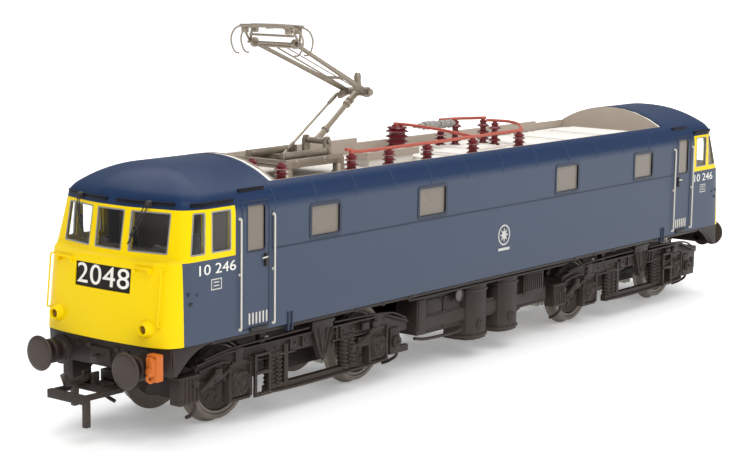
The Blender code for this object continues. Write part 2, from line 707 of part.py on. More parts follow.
def bogie_frame(name, pivot, sign):
    """Side frames with springs, axleboxes and brackets, joined by stretchers that clear the wheels and gears."""
    made = box(name, (pivot - 33.0, pivot - 31.2), (-14.0, 14.0), (11.4, 13.2), BLACK)
    join(
        made,
        box(f"{name}_stretcher", (pivot + 30.6, pivot + 32.0), (-14.0, 14.0), (10.8, 12.4)),
        box(f"{name}_bolster_a", (pivot - 15.0, pivot - 13.6), (-14.0, 14.0), (17.05, 17.4)),
    )
    for side in (-1, 1):
        y = sorted((side * FRAME_Y[0], side * FRAME_Y[1]))
        bracket_y = sorted((side * 14.2, side * 15.2))
        beam = [(pivot + first, second) for first, second in UPPER_BEAM]
        bracket = [(pivot + first, second) for first, second in BRACKET]
        join(
            made,
            plate(f"{name}_beam{side}", "XZ", [beam], *y),
            plate(f"{name}_bracket{side}", "XZ", [bracket], *bracket_y),
            box(f"{name}_riser{side}", (pivot - 15.0, pivot - 13.6), y, (14.8, 17.4)),
        )
        for number, x in enumerate((-HALF_WHEELBASE, HALF_WHEELBASE)):
            low, high = sorted((side * 13.3, side * 15.7))
            cover = ((pivot + x, low, AXLE_Z), (pivot + x, high, AXLE_Z))
            join(made, rod(f"{name}_axlebox{number}{side}", "Y", *cover, 2.3, sides=12))
        for number, x in enumerate((-12.0, -9.8, 10.8, 13.0)):
            spring = ((pivot + x, side * 14.2, 6.0), (pivot + x, side * 14.2, 12.9))
            join(made, rod(f"{name}_spring{number}{side}", "Z", *spring, 0.95, sides=6))
    mirrored_boxes(
        made,
        name,
        pivot,
        [
            ((-24.4, -18.4), (13.3, 14.9), (6.0, 12.6)),
            ((18.4, 24.4), (13.3, 14.9), (6.0, 12.6)),
            ((-13.2, 15.0), (13.4, 14.9), (4.9, 6.4)),
            ((-8.3, -7.2), (13.4, 15.0), (4.9, 14.0)),
            ((14.8, 19.0), (13.4, 15.3), (9.6, 11.6)),
            ((-38.3, -33.4), (13.0, 15.6), (7.2, 12.3)),
            ((-34.0, -32.0), (13.3, 14.5), (10.8, 12.2)),
            ((25.6, 28.8), (13.3, 15.2), (6.2, 11.8)),
            ((28.4, 32.6), (13.6, 14.6), (6.0, 7.4)),
        ],
    )
    ladder_x = (-18.0, -13.4) if sign < 0 else (13.4, 18.0)
    low, high = ladder_x
    rails = [((low, low + 0.6), (15.45, 16.0), (5.25, 13.65)), ((high - 0.6, high), (15.45, 16.0), (5.25, 13.65))]
    rails += [((low + 0.1, high - 0.1), (15.5, 16.3), (z, z + 0.5)) for z in (5.35, 9.65)]
    rails += [((low + 0.1, high - 0.1), (14.0, 15.9), (13.15, 13.6))]
    mirrored_boxes(made, f"{name}_ladder", pivot, rails)
    pocket = sorted((pivot + sign * 30.8, pivot + sign * 41.0))
    join(made, box(f"{name}_pocket", pocket, (-2.4, 2.4), (8.4, 12.2)))
    slot = sorted((pivot + sign * 36.0, pivot + sign * 42.0))
    cut(made, box(f"{name}_pocket_slot", slot, (-1.7, 1.7), (9.0, 10.6)))
    for number, x in enumerate((-HALF_WHEELBASE, HALF_WHEELBASE)):
        bore = ((pivot + x, -13.0, AXLE_Z), (pivot + x, 13.0, AXLE_Z))
        cut(made, rod(f"{name}_bore{number}", "Y", *bore, 1.0, sides=16))
    return centred(made, (pivot, 0, CHASSIS_Z[1]))


HOUSING = [(-28.2, 5.0), (-28.2, 10.4), (-25.0, 15.7), (-16.0, 16.9), (-9.4, 16.9), (-9.4, 23.9), (9.4, 23.9)]
HOUSING += [(9.4, 16.9), (16.0, 16.9), (25.0, 15.7), (28.2, 10.4), (28.2, 5.0)]
CAVITY = [(-27.6, 3.0), (-27.6, 10.3), (-24.6, 15.2), (-15.8, 16.45), (15.8, 16.45), (24.6, 15.2), (27.6, 10.3), (27.6, 3.0)]


def gear_tower(name, pivot):
    """Housing of one bogie's gears; its two pads rest on the chassis round the turning hole."""
    made = plate(name, "XZ", [[(pivot + x, z) for x, z in HOUSING]], -3.2, 3.2, BLACK)
    join(
        made,
        box(f"{name}_head", (pivot - 9.4, pivot + 9.4), (-4.4, 4.4), (15.6, 23.9)),
        box(f"{name}_pads", (pivot - 4.0, pivot + 4.0), (-14.4, 14.4), (21.6, 22.8)),
    )
    cavity = [(pivot + x, z) for x, z in CAVITY]
    cut(
        made,
        plate(f"{name}_cavity", "XZ", [cavity], -1.6, 1.6),
        box(f"{name}_worm_room", (pivot - 7.6, pivot + 7.6), (-3.3, 3.3), (16.0, 23.1)),
        rod(f"{name}_shaft_bore", "X", (pivot - 12, 0, MOTOR_Z), (pivot + 12, 0, MOTOR_Z), 1.1, sides=12),
    )
    for number, (x, z, radius) in enumerate(
        (
            (-HALF_WHEELBASE, AXLE_Z, AXLE_R + 0.1),
            (HALF_WHEELBASE, AXLE_Z, AXLE_R + 0.1),
            (-IDLER_X, IDLER_Z, 1.1),
            (IDLER_X, IDLER_Z, 1.1),
            (0, WORM_WHEEL_Z, 1.1),
        )
    ):
        bore = ((pivot + x, -6, z), (pivot + x, 6, z))
        cut(made, rod(f"{name}_bore{number}", "Y", *bore, radius, sides=20 if number < 2 else 10))
    return centred(made, (pivot, 0, CHASSIS_Z[1]))


def gear_on_pin(name, x, z, phase):
    made = plate(name, "XZ", [gear_outline((x, z), phase)], -0.9, 0.9, NYLON)
    join(made, rod(f"{name}_pin", "Y", (x, -3.0, z), (x, 3.0, z), 1.0, sides=10))
    return centred(made, (x, 0, z))


def coupling(name, pivot, sign):
    """Fixed part of the coupling: stem in the bogie's pocket, frame, front bar and guard, with ears for the hook."""

    def block(word, x, y, z, finish=None):
        return box(f"{name}_{word}", sorted((sign * x[0], sign * x[1])), y, z, finish)

    made = block("bar", (114.6, 115.8), (-4.7, 4.7), (8.4, 10.0))
    made.name = f"coupling_{name}"
    made.data.materials.append(BLACK)
    join(
        made,
        block("arm_r", (107.0, 115.0), (-4.7, -3.9), (8.9, 9.9)),
        block("arm_l", (107.0, 115.0), (3.9, 4.7), (8.9, 9.9)),
        block("plate", (105.4, 108.0), (-4.7, 4.7), (8.9, 9.9)),
        block("stem", (100.4, 106.0), (-1.4, 1.4), (9.2, 10.3)),
        block("guard", (113.8, 115.0), (-4.7, -3.7), (3.9, 9.4)),
        block("ear_r", (106.2, 107.9), (0.9, 1.5), (9.6, 12.2)),
        block("ear_l", (106.2, 107.9), (3.3, 3.9), (9.6, 12.2)),
    )
    pin = ((sign * 107.0, 0.5, 11.3), (sign * 107.0, 4.4, 11.3))
    cut(made, rod(f"{name}_pin_bore", "Y", *pin, 0.5, sides=12))
    outline = [(106.5, 10.9), (110.4, 10.3), (110.6, 6.4), (111.6, 6.4), (111.8, 10.3), (113.4, 10.4), (114.3, 12.6)]
    outline += [(113.5, 12.8), (112.6, 11.3), (106.5, 11.8)]
    hook = plate(f"coupling_hook_{name}", "XZ", [flipped(outline, sign)], 1.9, 2.9, BLACK)
    pin = ((sign * 107.0, 1.0, 11.3), (sign * 107.0, 3.8, 11.3))
    join(hook, rod(f"{name}_pin", "Y", *pin, 0.38, sides=12))
    centred(hook, (sign * 107.0, 0, 11.3))
    return centred(made, (pivot, 0, CHASSIS_Z[1]))


for word, sign in (("a", -1), ("b", 1)):
    pivot = sign * BOGIE_X
    bogie_frame(f"bogie_frame_{word}", pivot, sign)
    gear_tower(f"gear_tower_{word}", pivot)
    shaft = worm_shaft(f"worm_{word}", pivot, sign)
    thread = worm_thread(f"worm_thread_{word}", pivot)
    move_to_origin_of(thread, shaft)
    join(shaft, thread)
    coupling(word, pivot, sign)
    top_phase = math.pi / 2 + TOOTH_PITCH / 2
    gear_on_pin(f"worm_wheel_{word}", pivot, WORM_WHEEL_Z, top_phase)
    for number, side in enumerate((-1, 1), 1):
        # Angles here run from +X towards +Z.
        direction = math.atan2(IDLER_Z - WORM_WHEEL_Z, side * IDLER_X)
        idler_phase = meshing_phase(top_phase, direction)
        gear_on_pin(f"idler_{word}{number}", pivot + side * IDLER_X, IDLER_Z, idler_phase)
        axle_phase = meshing_phase(idler_phase, direction)
        wheelset(f"wheelset_{word}{number}", pivot + side * HALF_WHEELBASE, axle_phase)


# ---------------------------------------------------------------- sprung buffers and jumper cables
for word, sign in (("a", -1), ("b", 1)):
    for hand, side in (("right", -1), ("left", 1)):
        profile = [(0, 0), (2.7, 0), (BUFFER_HEAD_R, -0.4), (BUFFER_HEAD_R, -0.75), (1.5, -1.0)]
        profile += [(1.0, -1.2), (1.0, -7.6), (0, -7.6)]
        if sign < 0:
            profile = [(radius, -height) for radius, height in reversed(profile)]
        turned(f"buffer_{word}_{hand}", profile, "X", (sign * BUFFER_FACE_X, side * BUFFER_Y, BUFFER_Z), BLACK, 20)
    x = sorted((sign * 106.6, sign * 108.4))
    jumper = box(f"jumper_{word}", x, (sign * 14.9 - 1.3, sign * 14.9 + 1.3), (13.0, 18.0), ORANGE)
    x = sorted((sign * 106.9, sign * 109.0))
    join(jumper, box(f"jumper_head_{word}", x, (sign * 14.9 - 0.9, sign * 14.9 + 0.9), (14.2, 17.2)))


# ---------------------------------------------------------------- roof equipment
ROOF_Z = WELL_FLOOR_Z + GAP


def insulator(name, x, y, top, sheds=3, body=1.0, shed=1.6):
    """Ribbed ceramic post on a low base, with a metal cap."""
    low, high = ROOF_Z + 1.0, top - 0.7
    step = (high - low) / sheds
    profile = [(0, top), (body * 0.8, top), (body * 0.8, high)]
    for number in range(sheds):
        z = high - step * number
        profile += [(shed, z - step * 0.45), (body, z - step)]
    profile += [(shed * 1.15, low), (shed * 1.15, ROOF_Z), (0, ROOF_Z)]
    return turned(name, [(radius, z - ROOF_Z) for radius, z in profile], "Z", (x, y, ROOF_Z), RED, 10)


NEAR_ROW = (-69.6, -47.7, -35.1, -21.6, -4.5, 14.0)
for number, x in enumerate(NEAR_ROW, 1):
    insulator(f"insulator_{number}", x, -12.0, 49.4, 2)
insulator("main_insulator", -7.2, 7.2, 51.3, 3, 1.7, 2.6)

breaker = box("circuit_breaker", (7.6, 22.4), (-3.4, 9.4), (ROOF_Z, ROOF_Z + 0.8), RED)
for number, (x, y, top) in enumerate(((9.7, 7.2, 48.9), (12.1, 4.7, 51.4), (20.1, 2.3, 51.2), (19.6, -1.4, 50.8)), 1):
    join(breaker, insulator(f"breaker_post_{number}", x, y, top, 2, 1.0, 1.5))
join(breaker, bar("breaker_body", (12.1, 4.7, 50.6), (-2.0, 6.2, 50.6), 0.9, sides=12))

wire("busbar_line", [(-47.7, -12, 50.0), (-21.6, -12, 50.0), (-4.5, -12, 50.0), (14.0, -12, 50.0)], 0.3, RED, 1)
wire("busbar_main", [(-4.2, -11.2, 50.4), (-6.4, 0, 51.6), (-7.2, 7.2, 51.9), (-9.0, 9.0, 51.9)], 0.3, RED, 1)
wire(
    "busbar_breaker",
    [(14.0, -11.2, 50.5), (16.5, -9.4, 51.8), (18.8, -5.0, 52.2), (19.6, -1.4, 51.4), (20.1, 2.3, 51.8), (12.1, 4.7, 52.0)],
    0.3,
    RED,
    1,
)


# ---------------------------------------------------------------- pantograph
SHOULDER = (-44.5, 51.0)
KNEE = (-31.0, 60.5)
HEAD_PIVOT = (-57.9, 71.7)
ROD_BASE = (-51.2, 48.2)
ROD_END = (KNEE[0] - 2.44, KNEE[1] - 0.63)


def at(point, y):
    return (point[0], y, point[1])


def eye(name, point, outer, hole, y, sides=10):
    """Flat ring round a pin along Y."""
    outer_ring = arc(point, outer, 0, 360 - 360 / sides, sides - 1)
    inner_ring = arc(point, hole, 0, 360 - 360 / sides, sides - 1)
    return plate(name, "XZ", [outer_ring, inner_ring], *y)


base = box("pantograph_base", (-62.0, -44.0), (-6.8, -5.9), (47.8, 48.6), NICKEL)
join(
    base,
    box("base_rail_l", (-62.0, -44.0), (5.9, 6.8), (47.8, 48.6)),
    box("base_cross_a", (-62.0, -60.8), (-6.5, 6.5), (47.8, 48.6)),
    box("base_cross_b", (-54.0, -52.8), (-6.5, 6.5), (47.8, 48.6)),
    box("base_cross_c", (-45.4, -43.6), (-6.5, 6.5), (47.7, 48.4)),
)
for number, (x, y) in enumerate(((-61.4, -6.3), (-61.4, 6.3), (-44.8, -6.3), (-44.8, 6.3))):
    join(base, rod(f"base_foot_{number}", "Z", (x, y, ROOF_Z), (x, y, 48.2), 1.1, sides=12))
for number, y in enumerate(((-3.2, -2.5), (2.5, 3.2))):
    ear = [(-45.4, 48.0), (-43.6, 48.0), (-43.5, 51.0), (-44.0, 52.0), (-45.0, 52.0), (-45.5, 51.0)]
    hole = arc(SHOULDER, 0.6, 0, 330, 11)
    join(base, plate(f"shoulder_ear_{number}", "XZ", [ear, hole], *y))
ear = [(-53.6, 47.8), (-52.8, 48.4), (-50.5, 48.9), (-50.5, 47.4), (-51.4, 47.1), (-53.6, 47.6)]
join(base, plate("rod_ear", "XZ", [ear, arc(ROD_BASE, 0.44, 0, 330, 11)], 2.4, 3.0))

lower_arm = rod("pantograph_lower_arm", "Y", at(SHOULDER, -3.6), at(SHOULDER, 3.2), 0.45, NICKEL, sides=12)
join(
    lower_arm,
    rod("shoulder_tube", "Y", at(SHOULDER, -2.1), at(SHOULDER, 2.1), 1.0, sides=12),
    bar("lower_tube", at(SHOULDER, 0), at(KNEE, 0), 0.75, sides=10),
    rod("knee_pin", "Y", at(KNEE, -4.0), at(KNEE, 4.0), 0.5, sides=12),
    rod("knee_tube", "Y", at(KNEE, -1.8), at(KNEE, 1.8), 0.9, sides=12),
    bar("knee_horn", at(KNEE, 0), (-30.9, 0, 64.3), 0.45, sides=6),
)
centred(lower_arm, at(SHOULDER, 0))

upper_arm = eye("pantograph_upper_arm", KNEE, 1.15, 0.64, (-3.0, -2.3))
upper_arm.data.materials.append(NICKEL)
lever = [(KNEE[0] - 0.7, KNEE[1] + 0.7), (ROD_END[0] - 0.9, ROD_END[1] + 0.3), (ROD_END[0] - 0.3, ROD_END[1] - 0.9)]
lever += [(KNEE[0] - 0.5, KNEE[1] - 0.95), (KNEE[0] + 0.9, KNEE[1] - 0.6), (KNEE[0] + 0.9, KNEE[1] + 0.7)]
holes = [arc(KNEE, 0.64, 0, 330, 11), arc(ROD_END, 0.46, 0, 330, 11)]
join(upper_arm, plate("rod_lever", "XZ", [lever] + holes, 2.3, 3.0))
way = (Vector(HEAD_PIVOT) - Vector(KNEE)).normalized()
for number, side in enumerate((-1, 1)):
    start = (KNEE[0] + way.x * 0.95, side * 2.65, KNEE[1] + way.y * 0.95)
    end = (HEAD_PIVOT[0] - way.x * 0.8, side * 5.45, HEAD_PIVOT[1] - way.y * 0.8)
    join(
        upper_arm,
        bar(f"upper_tube_{number}", start, end, 0.45, sides=6),
        eye(f"head_eye_{number}", HEAD_PIVOT, 1.0, 0.55, sorted((side * 5.1, side * 5.8))),
    )
for number, share in enumerate((0.3, 0.94)):
    x = KNEE[0] + (HEAD_PIVOT[0] - KNEE[0]) * share
    z = KNEE[1] + (HEAD_PIVOT[1] - KNEE[1]) * share
    reach = 2.65 + 2.8 * share
    join(upper_arm, rod(f"upper_brace_{number}", "Y", (x, -reach, z), (x, reach, z), 0.35, sides=6))
centred(upper_arm, at(KNEE, 0))

control_rod = rod("pantograph_control_rod", "Y", at(ROD_BASE, 2.1), at(ROD_BASE, 3.9), 0.3, NICKEL, sides=12)
join(
    control_rod,
    rod("rod_top_pin", "Y", at(ROD_END, 2.0), at(ROD_END, 3.9), 0.3, sides=12),
    bar("rod_tube", at(ROD_BASE, 3.6), at(ROD_END, 3.6), 0.3, sides=6),
)
centred(control_rod, at(ROD_BASE, 0))

HORN = [(7.4, 69.4), (8.9, 69.9), (9.7, 71.8), (9.0, 74.0), (6.9, 75.0)]
head = rod("pantograph_head", "Y", at(HEAD_PIVOT, -7.2), at(HEAD_PIVOT, 7.2), 0.38, NICKEL, sides=12)
for number, x in enumerate((-56.2, -60.4)):
    path = [(x, -y, z) for y, z in HORN] + [(x, y, z) for y, z in reversed(HORN)]
    join(
        head,
        wire(f"horn_{number}", path, 0.32, None, 1),
        box(f"strip_{number}", (x - 0.75, x + 0.75), (-6.6, 6.6), (74.9, 75.6)),
    )
for number, side in enumerate((-1, 1)):
    y = side * 6.6
    join(
        head,
        bar(f"head_stay_{number}a", at(HEAD_PIVOT, y), (-56.2, y * 0.98, 75.2), 0.36, sides=6),
        bar(f"head_stay_{number}b", at(HEAD_PIVOT, y), (-60.4, y * 0.98, 75.2), 0.36, sides=6),
    )
centred(head, at(HEAD_PIVOT, 0))
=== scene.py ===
import math

import bmesh
import bpy
import numpy as np
from mathutils import Matrix, Vector


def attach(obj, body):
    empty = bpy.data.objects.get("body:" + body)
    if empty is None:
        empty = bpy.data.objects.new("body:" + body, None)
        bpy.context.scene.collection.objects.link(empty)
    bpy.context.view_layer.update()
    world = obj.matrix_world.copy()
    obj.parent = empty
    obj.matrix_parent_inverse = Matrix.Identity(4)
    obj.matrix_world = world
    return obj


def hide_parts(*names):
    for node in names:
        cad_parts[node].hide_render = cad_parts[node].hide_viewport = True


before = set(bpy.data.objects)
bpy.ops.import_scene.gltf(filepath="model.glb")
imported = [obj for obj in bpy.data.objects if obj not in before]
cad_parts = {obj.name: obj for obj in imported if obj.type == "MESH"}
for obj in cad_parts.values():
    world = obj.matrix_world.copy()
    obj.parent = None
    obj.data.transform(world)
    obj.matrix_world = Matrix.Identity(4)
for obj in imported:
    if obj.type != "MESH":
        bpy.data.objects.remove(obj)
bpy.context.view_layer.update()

MM = 0.001

# ---------------------------------------------------------------- stage and camera
# The model stands on a white table in a white studio under large soft lights, seen from low down at the
# corner of the pantograph cab. Nothing here is part of the locomotive.
FLOOR_REACH = 14.0
WHITE = (1.0, 1.0, 1.0)
STUDIO_STRENGTH = 0.38


def linked(made):
    bpy.context.scene.collection.objects.link(made)
    return made


def mesh_object(name, bm):
    """The bmesh as an object in the scene."""
    mesh = bpy.data.meshes.new(name)
    bm.to_mesh(mesh)
    bm.free()
    return linked(bpy.data.objects.new(name, mesh))


def feed(socket, value):
    """Joins an output to the socket, or sets the socket's own value."""
    if isinstance(value, bpy.types.NodeSocket):
        socket.id_data.links.new(value, socket)
    else:
        socket.default_value = (*value, 1) if socket.type == "RGBA" else value


def fed(made, *values, **inputs):
    """Feeds a node: values go to its first inputs in order, the named ones to the inputs of that name."""
    for socket, value in zip(made.inputs, values):
        feed(socket, value)
    for label, value in inputs.items():
        feed(made.inputs[label.replace("_", " ")], value)
    return made


def node(tree, kind, *values, operation=None, **inputs):
    made = tree.nodes.new(kind)
    if operation:
        made.operation = operation
    return fed(made, *values, **inputs)


def new_material(name):
    made = bpy.data.materials.new(name)
    made.use_nodes = True
    return made, made.node_tree, made.node_tree.nodes["Principled BSDF"]


def object_place(tree):
    return node(tree, "ShaderNodeTexCoord").outputs["Object"]


bm = bmesh.new()
bmesh.ops.create_grid(bm, x_segments=8, y_segments=8, size=FLOOR_REACH)
table = mesh_object("table_top", bm)
white, tree, shader = new_material("white_table")
# The table top glows by itself. This is painted light: weakest next to the model, where it softens the floor's
# shadows,
# and strongest beyond 0.7 m, where it whitens the far floor.
distance = node(tree, "ShaderNodeVectorMath", object_place(tree), operation="LENGTH").outputs["Value"]
painted_floor_light = node(tree, "ShaderNodeMapRange", Value=distance, From_Min=0.13, From_Max=0.7, To_Min=0.27,
            To_Max=0.68)
fed(shader, Base_Color=(0.93, 0.93, 0.93), Roughness=0.7, Emission_Color=WHITE,
    Emission_Strength=painted_floor_light.outputs["Result"])
table.data.materials.append(white)

world = bpy.data.worlds.new("studio")
world.use_nodes = True
tree = world.node_tree
studio_light = fed(tree.nodes["Background"], Color=WHITE, Strength=STUDIO_STRENGTH)
backdrop = node(tree, "ShaderNodeBackground", Color=WHITE)
seen_directly = node(tree, "ShaderNodeLightPath").outputs["Is Camera Ray"]
sky = node(tree, "ShaderNodeMixShader", seen_directly, studio_light.outputs[0], backdrop.outputs[0])
fed(tree.nodes["World Output"], Surface=sky.outputs[0])
bpy.context.scene.world = world
bpy.context.scene.view_settings.view_transform = "Standard"
bpy.context.scene.view_settings.exposure = 0.0


def soft_light(name, place, aim, size, power):
    lamp = bpy.data.lights.new(name, "AREA")
    lamp.shape = "RECTANGLE"
    lamp.size, lamp.size_y = size
    lamp.energy = power
    made = linked(bpy.data.objects.new(name, lamp))
    way = Vector(aim) - Vector(place)
    made.matrix_world = Matrix.Translation(place) @ way.to_track_quat("-Z", "Y").to_matrix().to_4x4()


MODEL_MIDDLE = (0, 0, 0.03)
soft_light("key_softbox", (-0.55, -0.75, 0.95), MODEL_MIDDLE, (0.9, 0.9), 9.9)
soft_light("top_softbox", (0.25, 0.25, 0.9), MODEL_MIDDLE, (1.2, 0.8), 8.6)
soft_light("side_fill", (0.65, -0.75, 0.35), MODEL_MIDDLE, (0.7, 0.7), 1.3)

CAMERA_PLACE, FOCAL_LENGTH = (-0.340069, -0.245761, 0.091264), 88.49
azimuth, elevation, roll = math.radians(-52.1226), math.radians(8.9320), math.radians(0.7503)
back = Vector((math.sin(azimuth) * math.cos(elevation), -math.cos(azimuth) * math.cos(elevation),
               math.sin(elevation)))
right = (-back).cross(Vector((0, 0, 1))).normalized()
up = right.cross(-back)
camera_x = math.cos(roll) * right + math.sin(roll) * up
camera_y = -math.sin(roll) * right + math.cos(roll) * up
lens = bpy.data.cameras.new("camera")
lens.sensor_width = 36
lens.lens = FOCAL_LENGTH
lens.clip_start = 0.01
lens.clip_end = 50
camera = linked(bpy.data.objects.new("camera", lens))
place = Matrix((camera_x, camera_y, back)).transposed().to_4x4()
place.translation = CAMERA_PLACE
camera.matrix_world = place
bpy.context.scene.camera = camera

# ---------------------------------------------------------------- body shell
# One moulded plastic shell, painted rail blue with yellow cab fronts and window surrounds, spray-finished
# satin. It clips over the chassis; window, door and headcode openings are moulded right through it.
WAIST_Z, LEDGE_Z, EAVE_Z = 33.8, 34.7, 44.6
PIVOT_X, HALF_WHEELBASE, AXLE_Z, MOTOR_Z, BUFFER_Y, BUFFER_Z = 63.5, 21.4, 8.9, 19.73, 11.4, 15.0
DECK_Z = 44.75
CANTRAIL_Z, CANTRAIL_R, ROOF_R, ROOF_TOP = 41.8, 5.4, 27.1, 50.8
HALF_WIDTH, BOTTOM_Z, POLE_X = 17.4, 18.7, 91.0
FLUSH = 0.0001
NOSE_FOOT = [(99.4, 17.4), (102.8, 17.3), (105.0, 16.3), (106.2, 14.4), (106.9, 11.0), (107.3, 4.6),
             (107.4, 0.0)]
NOSE_WAIST = [(99.4, 17.4), (101.6, 17.3), (103.2, 16.3), (104.6, 14.4), (105.45, 11.0), (105.9, 4.6),
              (106.0, 0.0)]
NOSE_UPPER = [(98.6, 17.4), (100.5, 17.3), (101.8, 16.8), (102.5, 15.7), (103.3, 11.4), (104.8, 4.6),
              (104.9, 0.0)]
NOSE_EAVE = [(97.4, 16.6), (98.4, 16.2), (99.4, 15.7), (100.7, 14.7), (101.7, 11.2), (103.3, 4.6),
             (103.4, 0.0)]


def half_width(z):
    if z <= CANTRAIL_Z:
        return HALF_WIDTH
    return HALF_WIDTH - CANTRAIL_R * (1 - math.cos(math.asin(min(1, (z - CANTRAIL_Z) / CANTRAIL_R))))


def roof_height(y):
    return ROOF_TOP - ROOF_R + math.sqrt(ROOF_R**2 - y * y)


def rounded(table, t, blur):
    """A point along the nose's plan, from the side (0) to the middle (6), with its corners rounded by blur."""
    mirrored = [np.array(p) for p in table] + [np.array((x, -y)) for x, y in reversed(table[:-1])]
    total = np.zeros(2)
    for share in np.linspace(-1, 1, 9):
        at = min(max(t + share * blur * (1 if t > 0.3 else t / 0.3), 0), 11.999)
        low = int(at)
        total += mirrored[low] * (1 - at + low) + mirrored[low + 1] * (at - low)
    return total / 9


EAVE_Y = half_width(EAVE_Z)
NOSE_STEPS = np.concatenate([np.linspace(0, 3.5, 18), np.linspace(3.7, 6, 16)])


def shell_point(column, z, reach=None):
    """Where the outside of the body is: column is an x on the side, or a pair ("nose", t)."""
    if isinstance(column, tuple):
        t = column[1]
        if z <= WAIST_Z:
            share = (WAIST_Z - z) / (WAIST_Z - BOTTOM_Z)
            x, y = rounded(NOSE_WAIST, t, 0.55) * (1 - share) + rounded(NOSE_FOOT, t, 0.55) * share
        elif z <= LEDGE_Z:
            share = (z - WAIST_Z) / (LEDGE_Z - WAIST_Z)
            share = share * share * (3 - 2 * share)
            x, y = rounded(NOSE_WAIST, t, 0.55) * (1 - share) + rounded(NOSE_UPPER, t, 0.16) * share
        elif z <= EAVE_Z:
            share = (z - LEDGE_Z) / (EAVE_Z - LEDGE_Z)
            x, y = rounded(NOSE_UPPER, t, 0.16) * (1 - share) + rounded(NOSE_EAVE, t, 0.3) * share
        else:
            eave = rounded(NOSE_EAVE, t, 0.3)
            x, y = POLE_X + (eave[0] - POLE_X) * reach, eave[1] * reach
        return (x, y, z)
    if z <= EAVE_Z:
        return (column, half_width(z), z)
    spine = min(column, POLE_X)
    return (spine + (column - spine) * reach, EAVE_Y * reach, z)


LEDGE_ROWS = [float(z) for z in np.linspace(WAIST_Z - 0.3, LEDGE_Z + 0.3, 7)]
SHELL_ROWS = [(z, 1) for z in [18.7, 18.95, 24, 29] + LEDGE_ROWS + [38, 40.5]]
SHELL_ROWS += [(CANTRAIL_Z + CANTRAIL_R * math.sin(a), 1) for a in np.linspace(0, 0.545, 6)]
for angle in np.linspace(0.6, 0.982, 5):
    SHELL_ROWS.append((CANTRAIL_Z + CANTRAIL_R * math.sin(angle),
                       (HALF_WIDTH - CANTRAIL_R * (1 - math.cos(angle))) / EAVE_Y))
for y in (14.2, 13.2, 12, 10.8, 9.5, 8.2, 6.9, 5.6, 4.2, 2.8, 1.4, 0):
    SHELL_ROWS.append((roof_height(y), y / EAVE_Y))
SHELL_COLUMNS = [0.0, 18.0, 36.0, 54.0, 70.0, 76.0, 80.0, 84.0, 88.0, 91.0, 93.5,
                 96.0] + [("nose", t) for t in NOSE_STEPS]


def nose_front(y, z):
    """How far out the raked front of the nose stands, below the waist."""
    share = (WAIST_Z - z) / (WAIST_Z - BOTTOM_Z)
    waist, foot = [np.interp(-abs(y), [-spot[1] for spot in table], [spot[0] for spot in table])
                   for table in (NOSE_WAIST, NOSE_FOOT)]
    return float(waist * (1 - share) + foot * share)


def skin(name, outside, inside, shift=0.0):
    """The body's surface as a closed wall round a face moved outwards by shift, all in millimetres."""
    bm = bmesh.new()
    grid = []
    for column in SHELL_COLUMNS:
        points = [shell_point(column, z, reach) for z, reach in SHELL_ROWS]
        grid.append([bm.verts.new([value * MM for value in point]) for point in points])
    for here, there in zip(grid, grid[1:]):
        for i in range(len(here) - 1):
            corners = [here[i], there[i], there[i + 1], here[i + 1]]
            bm.faces.new(corners)
    bmesh.ops.remove_doubles(bm, verts=bm.verts, dist=0.000004)
    bmesh.ops.dissolve_degenerate(bm, edges=bm.edges, dist=0.000002)
    for axis in ((1, 0, 0), (0, 1, 0)):
        copy = bmesh.ops.duplicate(bm, geom=bm.verts[:] + bm.edges[:] + bm.faces[:])["geom"]
        verts = [item for item in copy if isinstance(item, bmesh.types.BMVert)]
        scale = [-1 if value else 1 for value in axis]
        bmesh.ops.scale(bm, vec=scale, verts=verts)
        bmesh.ops.remove_doubles(bm, verts=bm.verts, dist=0.000004)
    bmesh.ops.recalc_face_normals(bm, faces=bm.faces)
    top = max(bm.faces, key=lambda face: face.calc_center_median().z)
    if top.normal.z < 0:
        bmesh.ops.reverse_faces(bm, faces=bm.faces)
    bm.normal_update()
    for vert, normal in [(vert, vert.normal.copy()) for vert in bm.verts]:
        vert.co += normal * shift * MM
    made = mesh_object(name, bm)
    wall = made.modifiers.new("wall", "SOLIDIFY")
    wall.thickness = (inside + outside) * MM
    wall.offset = (outside - inside) / (outside + inside)
    return made


def applied(made):
    """The object with its modifiers turned into its plain mesh, and its place moved into the mesh."""
    bpy.context.view_layer.update()
    graph = bpy.context.evaluated_depsgraph_get()
    mesh = bpy.data.meshes.new_from_object(made.evaluated_get(graph), depsgraph=graph)
    mesh.transform(made.matrix_world)
    if made.matrix_world.determinant() < 0:
        mesh.flip_normals()
    name = made.name
    collections = list(made.users_collection)
    bpy.data.objects.remove(made)
    fresh = bpy.data.objects.new(name, mesh)
    fresh.name = name
    for collection in collections:
        collection.objects.link(fresh)
    return fresh


def combined(target, others, operation):
    """Cuts or joins closed meshes with Booleans, then drops the helpers."""
    for other in others:
        step = target.modifiers.new(operation, "BOOLEAN")
        step.operation = operation
        step.solver = "MANIFOLD"
        step.object = other
    fresh = applied(target)
    for other in others:
        bpy.data.objects.remove(other)
    return fresh


def placed(made, body, material, slot, *nodes, angle=38):
    """Gives a finished piece its material, body and the CAD parts that it stands for; slot is not used."""
    for face in made.data.polygons:
        face.use_smooth = True
    made.data.set_sharp_from_angle(angle=math.radians(angle))
    made.data.materials.clear()
    made.data.materials.append(material)
    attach(made, body)
    if nodes:
        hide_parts(*nodes)
    return made


def welded(made):
    """The object with its doubled points joined and its faces turned outwards."""
    bm = bmesh.new()
    bm.from_mesh(made.data)
    bmesh.ops.remove_doubles(bm, verts=bm.verts, dist=0.000001)
    bmesh.ops.recalc_face_normals(bm, faces=bm.faces)
    bm.to_mesh(made.data)
    bm.free()
    return made


